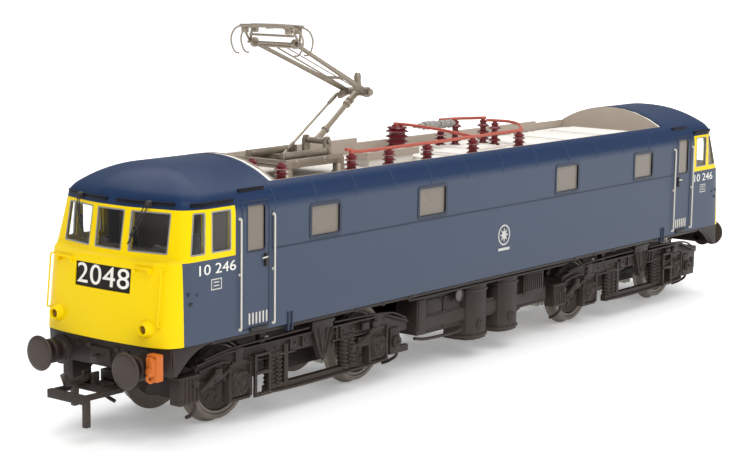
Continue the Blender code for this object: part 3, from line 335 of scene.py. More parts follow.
# A flat outline is drawn in two axes and given its thickness along the third: side faces use XZ, ends use YZ.
PLANES = {
    "XY": Matrix.Identity(4),
    "XZ": Matrix(((1, 0, 0, 0), (0, 0, -1, 0), (0, 1, 0, 0), (0, 0, 0, 1))),
    "YZ": Matrix(((0, 0, 1, 0), (1, 0, 0, 0), (0, 1, 0, 0), (0, 0, 0, 1))),
}


def sheet_metal(name, plane, outlines, low, high):
    """A flat piece between low and high millimetres across its plane; later outlines in the list are holes."""
    low, high = min(low, high), max(low, high)
    curve = bpy.data.curves.new(name, "CURVE")
    curve.dimensions = "2D"
    curve.fill_mode = "BOTH"
    curve.extrude = (high - low) / 2 * MM
    for outline in outlines:
        spline = curve.splines.new("POLY")
        spline.points.add(len(outline) - 1)
        for point, (first, second) in zip(spline.points, outline):
            point.co = (first * MM, second * MM, 0, 1)
        spline.use_cyclic_u = True
    made = linked(bpy.data.objects.new(name, curve))
    sign = -1 if plane == "XZ" else 1
    made.matrix_world = PLANES[plane] @ Matrix.Translation((0, 0, sign * (low + high) / 2 * MM))
    return welded(applied(made))


def assembled(name, bits, *given, angle=38):
    return placed(merged(name, bits), *given, angle=angle)


def merged(name, pieces):
    """Several separate meshes as one object, with each one's materials kept."""
    joined = bmesh.new()
    materials = []
    for piece in pieces:
        offset = len(materials)
        for used in piece.data.materials:
            materials.append(used)
        start = len(joined.faces)
        joined.from_mesh(piece.data)
        joined.faces.ensure_lookup_table()
        for face in joined.faces[start:]:
            face.material_index += offset
        bpy.data.objects.remove(piece)
    mesh = bpy.data.meshes.new(name)
    joined.to_mesh(mesh)
    joined.free()
    for used in materials:
        mesh.materials.append(used)
    return linked(bpy.data.objects.new(name, mesh))


def soft_corners(points, radius):
    """A closed outline with each corner rounded."""
    out = []
    count = len(points)
    for i in range(count):
        here = np.array(points[i], float)
        before = np.array(points[i - 1], float) - here
        after = np.array(points[(i + 1) % count], float) - here
        cut_before = here + before / np.linalg.norm(before) * min(radius, np.linalg.norm(before) * 0.45)
        cut_after = here + after / np.linalg.norm(after) * min(radius, np.linalg.norm(after) * 0.45)
        for share in np.linspace(0, 1, 5):
            point = cut_before * (1 - share) ** 2 + here * 2 * share * (1 - share) + cut_after * share**2
            out.append((float(point[0]), float(point[1])))
    return out


def grown(points, by):
    """The outline moved outwards by so many millimetres."""
    points = [np.array(point, float) for point in points]
    area = sum(a[0] * b[1] - b[0] * a[1] for a, b in zip(points, points[1:] + points[:1]))
    turn = 1 if area > 0 else -1
    lines = []
    for a, b in zip(points, points[1:] + points[:1]):
        way = (b - a) / np.linalg.norm(b - a)
        lines.append((a + turn * by * np.array((way[1], -way[0])), way))
    out = []
    for (p, u), (q, v) in zip([lines[-1]] + lines[:-1], lines):
        cross = u[0] * v[1] - u[1] * v[0]
        along = ((q - p)[0] * v[1] - (q - p)[1] * v[0]) / cross
        out.append(tuple(p + u * along))
    return out


def rectangle(x, z):
    x, z = sorted(x), sorted(z)
    return [(x[0], z[0]), (x[1], z[0]), (x[1], z[1]), (x[0], z[1])]


# Each opening: its plane, its outline, and how far along the third axis its prism runs.
SIDE_WINDOWS = [rectangle((22.1, 31.4), (35.1, 40.9)), rectangle((58.1, 66.7), (35.1, 40.9))]
DOOR_WINDOW = rectangle((80.5, 85.3), (34.3, 42.9))
CAB_SIDE_WINDOWS = [
    [(100.6, 35.2), (96.9, 35.2), (96.6, 42.9), (99.0, 42.9)],
    [(95.2, 35.2), (89.9, 35.2), (89.9, 42.9), (95.2, 42.9)],
]
WINDSCREENS = [
    [(-3.45, 35.4), (3.45, 35.4), (3.55, 42.9), (-3.55, 42.9)],
    [(5.1, 35.4), (13.5, 35.4), (13.3, 42.9), (5.0, 42.9)],
    [(-5.1, 35.4), (-13.5, 35.4), (-13.3, 42.9), (-5.0, 42.9)],
]
HEADCODE = rectangle((-7.3, 7.3), (27.9, 32.5))


def prisms(plane, outlines, grow, radius, hollow=None):
    """Prisms through the body's sides ("XZ") or ends ("YZ"), at both ends; hollow leaves a ring that wide."""
    made = []
    for sign in (-1, 1):
        reach = (-20, 20) if plane == "XZ" else (sign * 98.0, sign * 110.0)
        for outline in outlines:
            if plane == "XZ":
                outline = [(sign * x, z) for x, z in outline]
            shapes = [soft_corners(grown(outline, grow), radius + max(grow, 0))]
            if hollow is not None:
                shapes.append(soft_corners(grown(outline, grow - hollow), radius))
            made.append(sheet_metal("prism", plane, shapes, *reach))
    return made


def trimmed(name, cutters, outside, inside, shift=0.0):
    """The part of the body's skin that lies inside the cutters."""
    return combined(skin(name, outside, inside, shift), [merged(name + "_cutters", cutters)], "INTERSECT")


def roof_well(half):
    return sheet_metal("well", "XY", [rectangle((-76, 76), (-half, half))], 40, 53)


PANES = SIDE_WINDOWS + [DOOR_WINDOW]
openings = prisms("XZ", PANES + CAB_SIDE_WINDOWS, 0, 0.5)
openings += prisms("YZ", WINDSCREENS, 0, 0.5) + prisms("YZ", [HEADCODE], 0, 0.15)
shell = combined(skin("painted_body_shell", FLUSH, 1.1), openings + [roof_well(14.5)], "DIFFERENCE")


# Shader groups used by several finishes.
def group(name, inputs, outputs):
    """A shader group with number sockets: the tree, what its inputs give, and its output node."""
    made = bpy.data.node_groups.new(name, "ShaderNodeTree")
    for label, value in inputs.items():
        made.interface.new_socket(label, in_out="INPUT",
                                  socket_type="NodeSocketFloat").default_value = value
    for label in outputs:
        made.interface.new_socket(label, in_out="OUTPUT", socket_type="NodeSocketFloat")
    return made, made.nodes.new("NodeGroupInput").outputs, made.nodes.new("NodeGroupOutput")


def math_node(tree, operation, *values):
    return node(tree, "ShaderNodeMath", *values, operation=operation).outputs[0]


def noise(tree, spot, scale, detail):
    return node(tree, "ShaderNodeTexNoise", Vector=spot, Scale=scale, Detail=detail).outputs["Fac"]


def mix_colour(tree, factor, first, second):
    made = tree.nodes.new("ShaderNodeMix")
    made.data_type = "RGBA"
    for number, value in ((0, factor), (6, first), (7, second)):
        feed(made.inputs[number], value)
    return made.outputs[2]


# Fine grain of moulded plastic and sprayed paint: a height for a bump, and a mottled value about 1 for colour.
sizes = {"Grain Size mm": 0.25, "Patch Size mm": 9.0, "Mottle": 0.1}
grain, given, grain_out = group("plastic_grain", sizes, ("Height", "Tint", "Patches"))
spot = object_place(grain)
fine = noise(grain, spot, math_node(grain, "DIVIDE", 1000.0, given["Grain Size mm"]), 3)
broad = noise(grain, spot, math_node(grain, "DIVIDE", 1000.0, given["Patch Size mm"]), 5)
tint = math_node(grain, "MULTIPLY_ADD", math_node(grain, "SUBTRACT", broad, 0.5), given["Mottle"], 1.0)
fed(grain_out, Height=fine, Tint=tint, Patches=broad)

# Dust and oil that gather low down: a mask from height above the rail and broken noise.
dust, given, dust_out = group("track_dust", {"Top mm": 20.0, "Amount": 0.5}, ("Mask",))
spot = object_place(dust)
height = math_node(dust, "MULTIPLY", node(dust, "ShaderNodeSeparateXYZ", spot).outputs["Z"], 1000.0)
fall = math_node(dust, "SUBTRACT", 1.0, math_node(dust, "DIVIDE", height, given["Top mm"]))
broken = math_node(dust, "MULTIPLY", math_node(dust, "MAXIMUM", fall, 0.0), noise(dust, spot, 260, 6))
fed(dust_out, Mask=math_node(dust, "MULTIPLY", broken, given["Amount"]))

# Wear on edges: the rounded normal differs from the flat one only near an edge.
wear, given, wear_out = group("edge_wear", {"Width mm": 0.15, "Amount": 0.5}, ("Mask",))
rounded_face = node(wear, "ShaderNodeBevel", Radius=math_node(wear, "MULTIPLY", given["Width mm"], 0.001))
rounded_face.samples = 4
flat_face = node(wear, "ShaderNodeNewGeometry")
normals = (rounded_face.outputs["Normal"], flat_face.outputs["Normal"])
dot = node(wear, "ShaderNodeVectorMath", *normals, operation="DOT_PRODUCT").outputs["Value"]
edge = math_node(wear, "MULTIPLY", math_node(wear, "SUBTRACT", 1.0, dot), 6.0)
ragged = math_node(wear, "MULTIPLY", edge, noise(wear, object_place(wear), 700, 2))
fed(wear_out, Mask=math_node(wear, "MULTIPLY", math_node(wear, "MINIMUM", ragged, 1.0), given["Amount"]))


def use_group(tree, which, **values):
    made = tree.nodes.new("ShaderNodeGroup")
    made.node_tree = which
    return fed(made, **values).outputs


def finish(name, colour, roughness, metallic=0.0, mottle=0.12, grain_mm=0.25, bump=0.12, patch=9.0,
           dust_top=0.0, dust_colour=(0.16, 0.13, 0.10), dust_amount=0.6, worn_colour=None, wear_amount=0.4,
           wear_mm=0.15, coat=0.0, specular=0.3):
    """A finish with grain, mottled colour, dust and worn edges; a function as the colour builds a socket."""
    made, tree, shader = new_material(name)
    texture = use_group(tree, grain, Grain_Size_mm=grain_mm, Patch_Size_mm=patch, Mottle=mottle)
    base = colour(tree) if callable(colour) else colour
    shown = node(tree, "ShaderNodeVectorMath", base, operation="SCALE", Scale=texture["Tint"]).outputs[0]
    if worn_colour:
        rub = use_group(tree, wear, Width_mm=wear_mm, Amount=wear_amount)
        shown = mix_colour(tree, rub["Mask"], shown, worn_colour)
    rough = math_node(tree, "MULTIPLY_ADD", texture["Patches"], 0.16, roughness - 0.08)
    if dust_top:
        dirt = use_group(tree, dust, Top_mm=dust_top, Amount=dust_amount)
        shown = mix_colour(tree, dirt["Mask"], shown, dust_colour)
        rough = math_node(tree, "MULTIPLY_ADD", dirt["Mask"], 0.35, rough)
    lumps = node(tree, "ShaderNodeBump", Strength=bump, Distance=0.00004, Height=texture["Height"])
    fed(shader, Metallic=metallic, Coat_Weight=coat, Coat_Roughness=0.15, Specular_IOR_Level=specular)
    fed(shader, Base_Color=shown, Roughness=rough, Normal=lumps.outputs["Normal"])
    return made


RAIL_BLUE = (0.060, 0.078, 0.118)
ROOF_BLUE = (0.012, 0.030, 0.082)
WARNING_YELLOW = (0.86, 0.61, 0.0)


def livery(tree):
    """Yellow below the waist on the nose and round the cab windows, darker blue on the roof, blue elsewhere."""
    def past(value, limit, way="GREATER_THAN"):
        return math_node(tree, way, value, limit)

    def both(first, second):
        return math_node(tree, "MULTIPLY", first, second)

    place = node(tree, "ShaderNodeSeparateXYZ", object_place(tree)).outputs
    along, high = both(math_node(tree, "ABSOLUTE", place["X"]), 1000.0), both(place["Z"], 1000.0)
    nose = both(past(along, 102.35), past(high, WAIST_Z + 0.5, "LESS_THAN"))
    cab = both(both(past(along, 88.7), past(high, WAIST_Z + 0.3)), past(high, 43.45, "LESS_THAN"))
    roof = node(tree, "ShaderNodeMapRange", Value=high, From_Min=41.4, From_Max=43.2).outputs["Result"]
    blue = mix_colour(tree, roof, RAIL_BLUE, ROOF_BLUE)
    return mix_colour(tree, math_node(tree, "MAXIMUM", nose, cab), blue, WARNING_YELLOW)


body_paint = finish("rail_blue_and_yellow_paint", livery, 0.36, mottle=0.05, grain_mm=0.18, bump=0.06,
                    patch=30, dust_top=24.0, dust_amount=0.2, specular=0.12)
placed(shell, "locomotive", body_paint, "blue_paint", "body_shell", angle=28)


# ---------------------------------------------------------------- glazing and window frames
# Clear styrene panes push in from behind, flush with the body. The machinery-room and door panes are
# frosted beige; the cab's are clear, each with its own moulded edge and a thin silver foil surround.
def clear_plastic(name, colour, roughness):
    made, tree, shader = new_material(name)
    texture = use_group(tree, grain, Grain_Size_mm=3.0, Patch_Size_mm=14.0, Mottle=0.0)
    lumps = node(tree, "ShaderNodeBump", Strength=0.04, Distance=0.00003, Height=texture["Height"])
    fed(shader, Base_Color=colour, Roughness=roughness, IOR=1.3, Transmission_Weight=1.0)
    fed(shader, Normal=lumps.outputs["Normal"])
    return made


cab_glass = clear_plastic("clear_styrene", (0.93, 0.95, 0.95), 0.03)
frosted = finish("frosted_beige_pane", (0.175, 0.15, 0.122), 0.25, mottle=0.06, grain_mm=0.4, bump=0.04,
                 patch=4.0, coat=0.15)
frame_blue = finish("window_frame_blue", (0.022, 0.032, 0.056), 0.4, mottle=0.06)
frame_silver = finish("window_foil_silver", (0.30, 0.29, 0.27), 0.35, metallic=0.35, mottle=0.08)

panes = trimmed("frosted_panes", prisms("XZ", PANES, -0.02, 0.45), FLUSH, 0.7, -0.25)
placed(panes, "locomotive", frosted, "clear_glazing", "side_glazing_left", "side_glazing_right", angle=35)
shapes = prisms("XZ", CAB_SIDE_WINDOWS, -0.02, 0.45) + prisms("YZ", WINDSCREENS, -0.02, 0.45)
panes = trimmed("cab_panes", shapes, FLUSH, 0.5, -0.2)
placed(panes, "locomotive", cab_glass, "clear_glazing", "cab_glazing_a", "cab_glazing_b", angle=35)

surrounds = prisms("XZ", CAB_SIDE_WINDOWS, 0.02, 0.3, 0.26) + prisms("YZ", WINDSCREENS, 0.02, 0.3, 0.26)
for made, paint in (
    (trimmed("machinery_room_window_frames", prisms("XZ", SIDE_WINDOWS, 0.65, 0.3, 0.65), 0.16, 0.3),
     frame_blue),
    (trimmed("door_window_frames", prisms("XZ", [DOOR_WINDOW], 0.3, 0.25, 0.3), 0.08, 0.3), frame_blue),
    (trimmed("cab_window_surrounds", surrounds, 0.06, 0.5, -0.02), frame_silver),
):
    placed(made, "locomotive", paint, "blue_paint", angle=35)

# ---------------------------------------------------------------- body-side panel lines, doors and gutters
# Raised beads and seams moulded with the shell: the waist bead, the door edges, the roof's seam strips
# and the rain gutters over the cab windows and doors. The beads and seam strips have blues of their own;
# the gutters are near black, painted shade along the eaves over the windows and doors.
raised = []
for sign in (-1, 1):
    waist = [rectangle((sign * 0.0, sign * 78.4), (33.95, 34.25))]
    door = [soft_corners(rectangle((sign * 79.2, sign * 86.9), (19.3, 43.8)), 0.6)]
    door.append(soft_corners(rectangle((sign * 79.45, sign * 86.65), (19.55, 43.55)), 0.5))
    end_line = [rectangle((sign * 78.2, sign * 78.45), (34.2, 41.5))]
    for number, outline in enumerate((waist, door, end_line)):
        raised.append(sheet_metal(f"bead{number}{sign}", "XZ", outline, -20, 20))
beads = trimmed("panel_beads", raised, 0.07, 0.4)
bead_paint = finish("bead_blue", (0.030, 0.040, 0.064), 0.42, mottle=0.05, specular=0.15)
SEAM_X = (-77.4, -65.2, -52.6, -40.0, -27.2, -13.8, 0.0, 13.8, 27.2, 40.0, 52.6, 65.2, 77.4)
SEAM_HALF = 0.11
seams = [sheet_metal("seam", "XZ", [rectangle((x - SEAM_HALF, x + SEAM_HALF), (41.6, 52.5))], -20, 20)
         for x in SEAM_X]
seam_strips = combined(trimmed("roof_seam_strips", seams, 0.05, 0.4), [roof_well(15.2)], "DIFFERENCE")
seam_paint = finish("seam_blue", (0.035, 0.058, 0.112), 0.4, mottle=0.05, specular=0.15)


def swept(name, points, width, height):
    """A flat strip of this width and height along the points, all in millimetres."""
    bm = bmesh.new()
    rings = []
    for i, point in enumerate(points):
        here = Vector(point)
        ahead = Vector(points[min(i + 1, len(points) - 1)]) - Vector(points[max(i - 1, 0)])
        side = ahead.cross(Vector((0, 0, 1))).normalized()
        upward = side.cross(ahead).normalized()
        ring = []
        for across, high in ((-1, -1), (1, -1), (1, 1), (-1, 1)):
            ring.append(bm.verts.new((here + side * across * width / 2 + upward * high * height / 2) * MM))
        rings.append(ring)
    for here, there in zip(rings, rings[1:]):
        for i in range(4):
            bm.faces.new((here[i], here[(i + 1) % 4], there[(i + 1) % 4], there[i]))
    bm.faces.new(rings[0])
    bm.faces.new(rings[-1])
    bmesh.ops.recalc_face_normals(bm, faces=bm.faces)
    made = mesh_object(name, bm)
    bevel = made.modifiers.new("rounded", "BEVEL")
    bevel.width = min(width, height) * 0.25 * MM
    bevel.segments = 2
    bevel.angle_limit = math.radians(50)
    return applied(made)


gutters = []
for sign in (-1, 1):
    for side in (-1, 1):
        door = [(x, half_width(45.75), 45.75) for x in np.linspace(79.2, 86.4, 6)]
        cab = [(x, half_width(44.3), 44.3) for x in np.linspace(88.9, 97.0, 6)]
        cab += [shell_point(("nose", t), 44.3) for t in (0.6, 1.2, 1.8)]
        for path in (door, cab):
            gutters.append(swept("gutter_side", [(sign * x, side * (y + 0.12), z) for x, y, z in path], 0.5,
                                 0.8))
        front = [shell_point(("nose", t), 44.45) for t in np.linspace(3.25, 5.74, 14)]
        gutters.append(swept("gutter_front", [(sign * (x + 0.12), side * y, z) for x, y, z in front], 0.5,
                             0.75))
# The gutter strips are real mouldings, but their near-black colour is painted shade standing for the shadow
# under the eaves.
gutter_shade_paint = finish("gutter_dark_blue", (0.006, 0.007, 0.012), 0.45, mottle=0.1, specular=0.1)
for made, paint in ((beads, bead_paint), (seam_strips, seam_paint),
                    (merged("rain_gutters", gutters), gutter_shade_paint)):
    placed(made, "locomotive", paint, "blue_paint", angle=35)


# ---------------------------------------------------------------- handrails, door handles, louvres and steps
# Fine wire handrails stand on small stanchions beside each cab door, off-white; the door handle and the
# foot louvre below it are separate fittings. The nose carries yellow handrails and small step shelves.
def rod(name, points, radius, resolution=3):
    """Round wire through the points, with filled ends."""
    curve = bpy.data.curves.new(name, "CURVE")
    curve.dimensions = "3D"
    curve.bevel_depth = radius * MM
    curve.bevel_resolution = resolution
    curve.use_fill_caps = True
    spline = curve.splines.new("POLY")
    spline.points.add(len(points) - 1)
    for point, spot in zip(spline.points, points):
        point.co = (*(value * MM for value in spot), 1)
    return welded(applied(linked(bpy.data.objects.new(name, curve))))


def eased(points, steps=6):
    """A smooth line through the points."""
    points = [np.array(point, float) for point in points]
    padded = [points[0] * 2 - points[1]] + points + [points[-1] * 2 - points[-2]]
    out = []
    for a, b, c, d in zip(padded, padded[1:], padded[2:], padded[3:]):
        for share in np.linspace(0, 1, steps, endpoint=False):
            squared, cubed = 2 * a - 5 * b + 4 * c - d, 3 * b - a - 3 * c + d
            out.append(tuple((2 * b + (c - a) * share + squared * share**2 + cubed * share**3) / 2))
    out.append(tuple(points[-1]))
    return out


def block(name, x, y, z, bevel=0.08):
    """A small block with rounded edges, between the two ends given along each axis, in either order."""
    x, y, z = sorted(x), sorted(y), sorted(z)
    bm = bmesh.new()
    size = [(pair[1] - pair[0]) * MM for pair in (x, y, z)]
    middle = [(pair[1] + pair[0]) / 2 * MM for pair in (x, y, z)]
    bmesh.ops.create_cube(bm, size=1.0, matrix=Matrix.Translation(middle) @ Matrix.Diagonal((*size, 1.0)))
    bmesh.ops.bevel(bm, geom=bm.edges[:], offset=bevel * MM, segments=2, affect="EDGES", profile=0.5)
    return mesh_object(name, bm)


TURNS = {
    "+Z": Matrix.Identity(4),
    "-Z": Matrix.Rotation(math.pi, 4, "X"),
    "+X": Matrix.Rotation(math.radians(90), 4, "Y"),
    "-X": Matrix.Rotation(math.radians(-90), 4, "Y"),
    "+Y": Matrix.Rotation(math.radians(-90), 4, "X"),
    "-Y": Matrix.Rotation(math.radians(90), 4, "X"),
}


def toward(letter, way):
    return ("+" if way > 0 else "-") + letter


def turned(name, profile, centre, along, steps=48):
    """A lathe-turned shape from (radius, height) points; along is the axis letter with its sign."""
    bm = bmesh.new()
    rings = []
    for radius, height in profile:
        count = 1 if radius == 0 else steps
        ring = []
        for i in range(count):
            angle = 2 * math.pi * i / steps
            ring.append(bm.verts.new((radius * math.cos(angle) * MM, radius * math.sin(angle) * MM,
                                      height * MM)))
        rings.append(ring)
    for here, there in zip(rings, rings[1:]):
        for i in range(steps):
            j = (i + 1) % steps
            corners = [here[i % len(here)], here[j % len(here)], there[j % len(there)],
                       there[i % len(there)]]
            unique = list(dict.fromkeys(corners))
            if len(unique) > 2:
                bm.faces.new(unique)
    bmesh.ops.recalc_face_normals(bm, faces=bm.faces)
    made = mesh_object(name, bm)
    made.data.transform(Matrix.Translation(Vector(centre) * MM) @ TURNS[along])
    return made


off_white = finish("handrail_off_white", (0.62, 0.59, 0.53), 0.45, mottle=0.1)
fitting_yellow = finish("nose_fitting_yellow", WARNING_YELLOW, 0.4, mottle=0.05, specular=0.12)
fitting_black = finish("fitting_black", (0.022, 0.02, 0.02), 0.5, mottle=0.2)
white_rails, yellow_wires, dark_bits, blue_bits, louvre_bars = [], [], [], [], []
for sign in (-1, 1):
    for side in (-1, 1):
        face = side * HALF_WIDTH
        for x in (87.6, 78.1):
            stand = side * (HALF_WIDTH + 0.5)
            path = [(sign * x, face, 19.6), (sign * x, stand - side * 0.15, 19.65),
                    (sign * x, stand, 19.95)]
            path += [(sign * x, stand, 40.5), (sign * x, stand - side * 0.15, 40.8),
                     (sign * x, face, 40.85)]
            white_rails.append(rod("handrail", path, 0.19))
            for z in (19.7, 30.2, 40.75):
                centre = (sign * x, face - side * 0.1, z)
                collar = [(0, 0.55), (0.2, 0.52), (0.26, 0.4), (0.3, 0.1), (0.3, 0), (0, 0)]
                axis = toward("Y", side)
                white_rails.append(turned("stanchion", collar, centre, axis, 16))
        across = (face - side * 0.2, face + side * 0.55)
        dark_bits.append(block("handle_plate", (sign * 79.85, sign * 80.75), across, (31.0, 33.4), 0.1))
        grip = [(sign * 80.3, face + side * 0.3, 32.9), (sign * 80.3, face + side * 0.52, 32.8),
                (sign * 81.6, face + side * 0.52, 32.7)]
        white_rails.append(rod("door_handle", eased(grip, 4), 0.16))
        dark_bits.append(block("foot_step", (sign * 79.9, sign * 84.9), across, (18.9, 19.7), 0.08))
        for number in range(6):
            x = sign * (80.0 + number * 0.98)
            across = (face - side * 0.15, face + side * 0.16)
            louvre_bars.append(block("louvre", (x - 0.17, x + 0.17), across, (20.25, 22.45), 0.05))
        for shift in (-0.55, 0.55):
            across = (face - side * 0.6, face + side * 0.3)
            blue_bits.append(block("jack_bracket", (sign * 73.1 + shift - 0.22, sign * 73.1 + shift + 0.22),
                                   across, (17.4, 21.1), 0.08))
        across = (face - side * 0.2, face + side * 0.12)
        dark_bits.append(block("filler_slot", (sign * 100.3, sign * 101.2), across, (26.2, 26.75), 0.05))
        blue_bits.append(block("filler_hinge", (sign * 101.0, sign * 101.6), across, (28.0, 28.6), 0.05))
        blue_bits.append(block("filler_catch", (sign * 98.9, sign * 99.3), across, (27.7, 28.3), 0.05))
    for side in (-1, 1):
        path = [(-0.6, 33.0), (0.75, 33.0), (0.95, 32.7), (0.95, 23.1), (0.75, 22.8), (-0.6, 22.8)]
        path = [(nose_front(14.6, z) + proud, z) for proud, z in path]
        yellow_wires.append(rod("nose_handrail", [(sign * x, side * 14.6, z) for x, z in path], 0.19))
        shelf_x = nose_front(10.2, 32.6)
        for low, high, y0, y1 in ((32.85, 33.15, 8.2, 12.2), (31.9, 33.0, 8.2, 8.55),
                                  (31.9, 33.0, 11.85, 12.2)):
            across = (side * y0, side * y1)
            yellow_wires.append(block("nose_step", (sign * (shelf_x - 0.6), sign * (shelf_x + 0.75)),
                                      across, (low, high), 0.07))
for name, bits, paint in (("side_handrails", white_rails, off_white),
                          ("nose_handrails", yellow_wires, fitting_yellow),
                          ("side_fittings", dark_bits, fitting_black), ("side_brackets", blue_bits,
                                  bead_paint),
                          ("foot_louvres", louvre_bars, off_white)):
    assembled(name, bits, "locomotive", paint, "blue_paint", angle=40)

# ---------------------------------------------------------------- nose: marker lamps, wipers and headcode panel
# Two lens lamps sit low on each nose, the wipers hang from pivots above the outer screens, and the
# headcode is a black panel with white figures. The figures are plain digits.
lamps, lenses, wipers = [], [], []
for sign in (-1, 1):
    axis = toward("X", sign)
    for side in (-1, 1):
        centre = (sign * (nose_front(11.7, 22.0) - 0.45), side * 11.7, 22.0)
        body = [(0, 1.05), (0.78, 1.05), (0.86, 1.62), (1.05, 1.72), (1.25, 1.6), (1.42, 1.2), (1.62, 0.5),
                (1.75, 0.2), (1.75, 0), (0, 0)]
        lamps.append(turned("lamp_body", body, centre, axis, 40))
        lens_profile = [(0, 1.4), (0.4, 1.34), (0.72, 1.16), (0.76, 1.0), (0, 1.0)]
        lenses.append(turned("lamp_lens", lens_profile, centre, axis, 32))
        pivot = np.array((104.1, side * 9.0, 44.2))
        for shift in (-0.35, 0.35):
            arm = [(103.4, pivot[1] + shift, 44.5), (104.5, pivot[1] + shift, 44.1),
                   (105.2, pivot[1] + shift - side * 1.3, 41.0)]
            arm += [(105.5, pivot[1] + shift * 0.3 - side * 2.6, 38.4)]
            arm = [(sign * (x + 0.12 - 0.26 * (abs(y) - 4.6)), y, z) for x, y, z in arm]
            wipers.append(rod("wiper_arm", eased(arm, 4), 0.11))
        blade = [(104.75, pivot[1] - side * 1.3, 40.9), (105.45, pivot[1] - side * 3.2, 36.9)]
        blade = [(sign * (x + 0.1 - 0.26 * (abs(y) - 4.6)), y, z) for x, y, z in blade]
        wipers.append(rod("wiper_blade", blade, 0.16))
        boss = [(0, 0.9), (0.45, 0.85), (0.62, 0.5), (0.62, 0), (0, 0)]
        wipers.append(turned("wiper_boss", boss, (sign * 102.6, pivot[1], 44.4), axis, 20))
lens_red = clear_plastic("lamp_red_brown_lens", (0.25, 0.12, 0.08), 0.08)
code_black = finish("headcode_black", (0.016, 0.011, 0.010), 0.4, mottle=0.1, coat=0.03, specular=0.1)
for name, bits, paint in (("marker_lamps", lamps, fitting_yellow), ("lamp_lenses", lenses, lens_red),
                          ("windscreen_wipers", wipers, fitting_black)):
    assembled(name, bits, "locomotive", paint, "blue_paint", angle=40)
panel = trimmed("headcode_panels", prisms("YZ", [HEADCODE], -0.03, 0.15), FLUSH, 0.5, -0.25)
placed(panel, "locomotive", code_black, "blue_paint", angle=35)


def figures(name, words, height, depth, spacing=1.0):
    """Plain figures as a flat mesh of this height, centred on its origin and facing +Z."""
    curve = bpy.data.curves.new(name, "FONT")
    curve.body = words
    curve.align_x = "CENTER"
    curve.align_y = "CENTER"
    curve.size = height * MM / 0.73
    curve.space_character = spacing
    curve.extrude = depth / 2 * MM
    curve.resolution_u = 6
    return linked(bpy.data.objects.new(name, curve))


def faced(made, centre, outward, width):
    """Turns a flat piece to stand on a face, stretched to this width: its +Z along outward, its +Y up."""
    outward = Vector(outward).normalized()
    across = Vector((0, 0, 1)).cross(outward).normalized()
    upright = outward.cross(across)
    bpy.context.view_layer.update()
    stretch = width * MM / made.dimensions.x
    turn = Matrix((across * stretch, upright, outward)).transposed().to_4x4()
    made.matrix_world = Matrix.Translation(Vector(centre) * MM) @ turn
    return applied(made)


digits = []
for sign in (-1, 1):
    code = faced(figures("headcode_digits", "2048", 3.9, 0.1, 1.05), (0, 0, 30.2), (sign, 0, 0), 13.6)
    for vert in code.data.vertices:
        vert.co.x += sign * (nose_front(vert.co.y / MM, vert.co.z / MM) - 0.2) * MM
    digits.append(code)
for sign in (-1, 1):
    for side in (-1, 1):
        number = figures("side_digits", "10 246", 2.0, 0.05, 1.0)
        digits.append(faced(number, (sign * 93.9, side * (HALF_WIDTH + 0.03), 32.2), (0, side, 0), 9.9))
white_ink = finish("white_figures", (0.80, 0.78, 0.72), 0.5, mottle=0.05)
assembled("plain_figures", digits, "locomotive", white_ink, "blue_paint", angle=0)


# ---------------------------------------------------------------- roof deck, bulkheads and side screens
# A tray of moulded styrene drops into the well of the body: pale deck with raised inspection covers,
# end bulkheads, a screen along the far side, a resistor tray, and a light lining along both edges of the well.
def refined(part, bevel=0.08, segments=2):
    """A closed copy of a CAD part with its sharp edges rounded off by this many millimetres."""
    bm = bmesh.new()
    bm.from_mesh(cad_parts[part].data)
    bmesh.ops.remove_doubles(bm, verts=bm.verts, dist=0.000002)
    bmesh.ops.dissolve_limit(bm, angle_limit=math.radians(0.6), verts=bm.verts, edges=bm.edges)
    made = mesh_object(part + "_copy", bm)
    if bevel:
        step = made.modifiers.new("rounded", "BEVEL")
        step.width = bevel * MM
        step.segments = segments
        step.limit_method = "ANGLE"
        step.angle_limit = math.radians(34)
        step.use_clamp_overlap = True
    return applied(made)


def dressed_part(name, part, body, material, slot, *rounding):
    """A refined copy of one CAD part, shown under its own name."""
    placed(refined(part, *rounding), body, material, slot, part).name = name


deck_paint = finish("deck_pale_grey", (0.78, 0.75, 0.70), 0.5, mottle=0.14, grain_mm=0.3, patch=5.0,
                    bump=0.15)
curb_grey = finish("bulkhead_warm_grey", (0.42, 0.355, 0.295), 0.5, mottle=0.1, grain_mm=0.3)
covers = [refined("roof_panel", 0.1)]
for x0, x1, y0, y1 in ((-16.0, -8.5, -9.6, 1.6), (26.0, 38.0, -9.5, 9.5), (41.0, 55.0, -9.5, 9.5),
                       (58.0, 71.5, -9.5, 9.5), (-4.0, 6.0, -9.2, 3.0), (24.0, 25.2, -12.5, 12.5)):
    covers.append(block("cover", (x0, x1), (y0, y1), (44.6, 45.15), 0.14))
    covers.append(block("cover_lid", (x0 + 0.9, x1 - 0.9), (y0 + 0.9, y1 - 0.9), (45.1, 45.45), 0.12))
covers.append(block("tray_plinth", (-32.0, -16.5), (-4.4, -0.6), (44.6, 46.4), 0.1))
for x in np.arange(-72, 73, 8.0):
    covers.append(block("deck_rib", (x - 0.2, x + 0.2), (-14.0, -12.9), (44.6, 44.95), 0.05))
    covers.append(block("deck_rib", (x - 0.2, x + 0.2), (12.4, 13.0), (44.6, 44.95), 0.05))
deck = assembled("roof_deck", covers, "locomotive", deck_paint, "roof_grey", "roof_panel")
lining = []
for side in (-1, 1):
    across = (side * 14.22, side * 14.46)
    lining.append(block("lining", (-75.6, 75.6), across, (44.75, 46.62), 0.05))
lining.append(block("screen_far", (-75.0, -14.2), (13.25, 14.15), (44.8, 48.3), 0.1))
lining.append(block("screen_step", (-14.2, 60.0), (13.25, 14.15), (44.8, 47.2), 0.1))
lining.append(block("resistor_tray", (-33.5, -15.0), (-5.0, 0.0), (46.3, 47.3), 0.12))
for y in (-5.0, -0.4):
    lining.append(block("tray_edge", (-33.5, -15.0), (y, y + 0.4), (47.2, 47.8), 0.08))
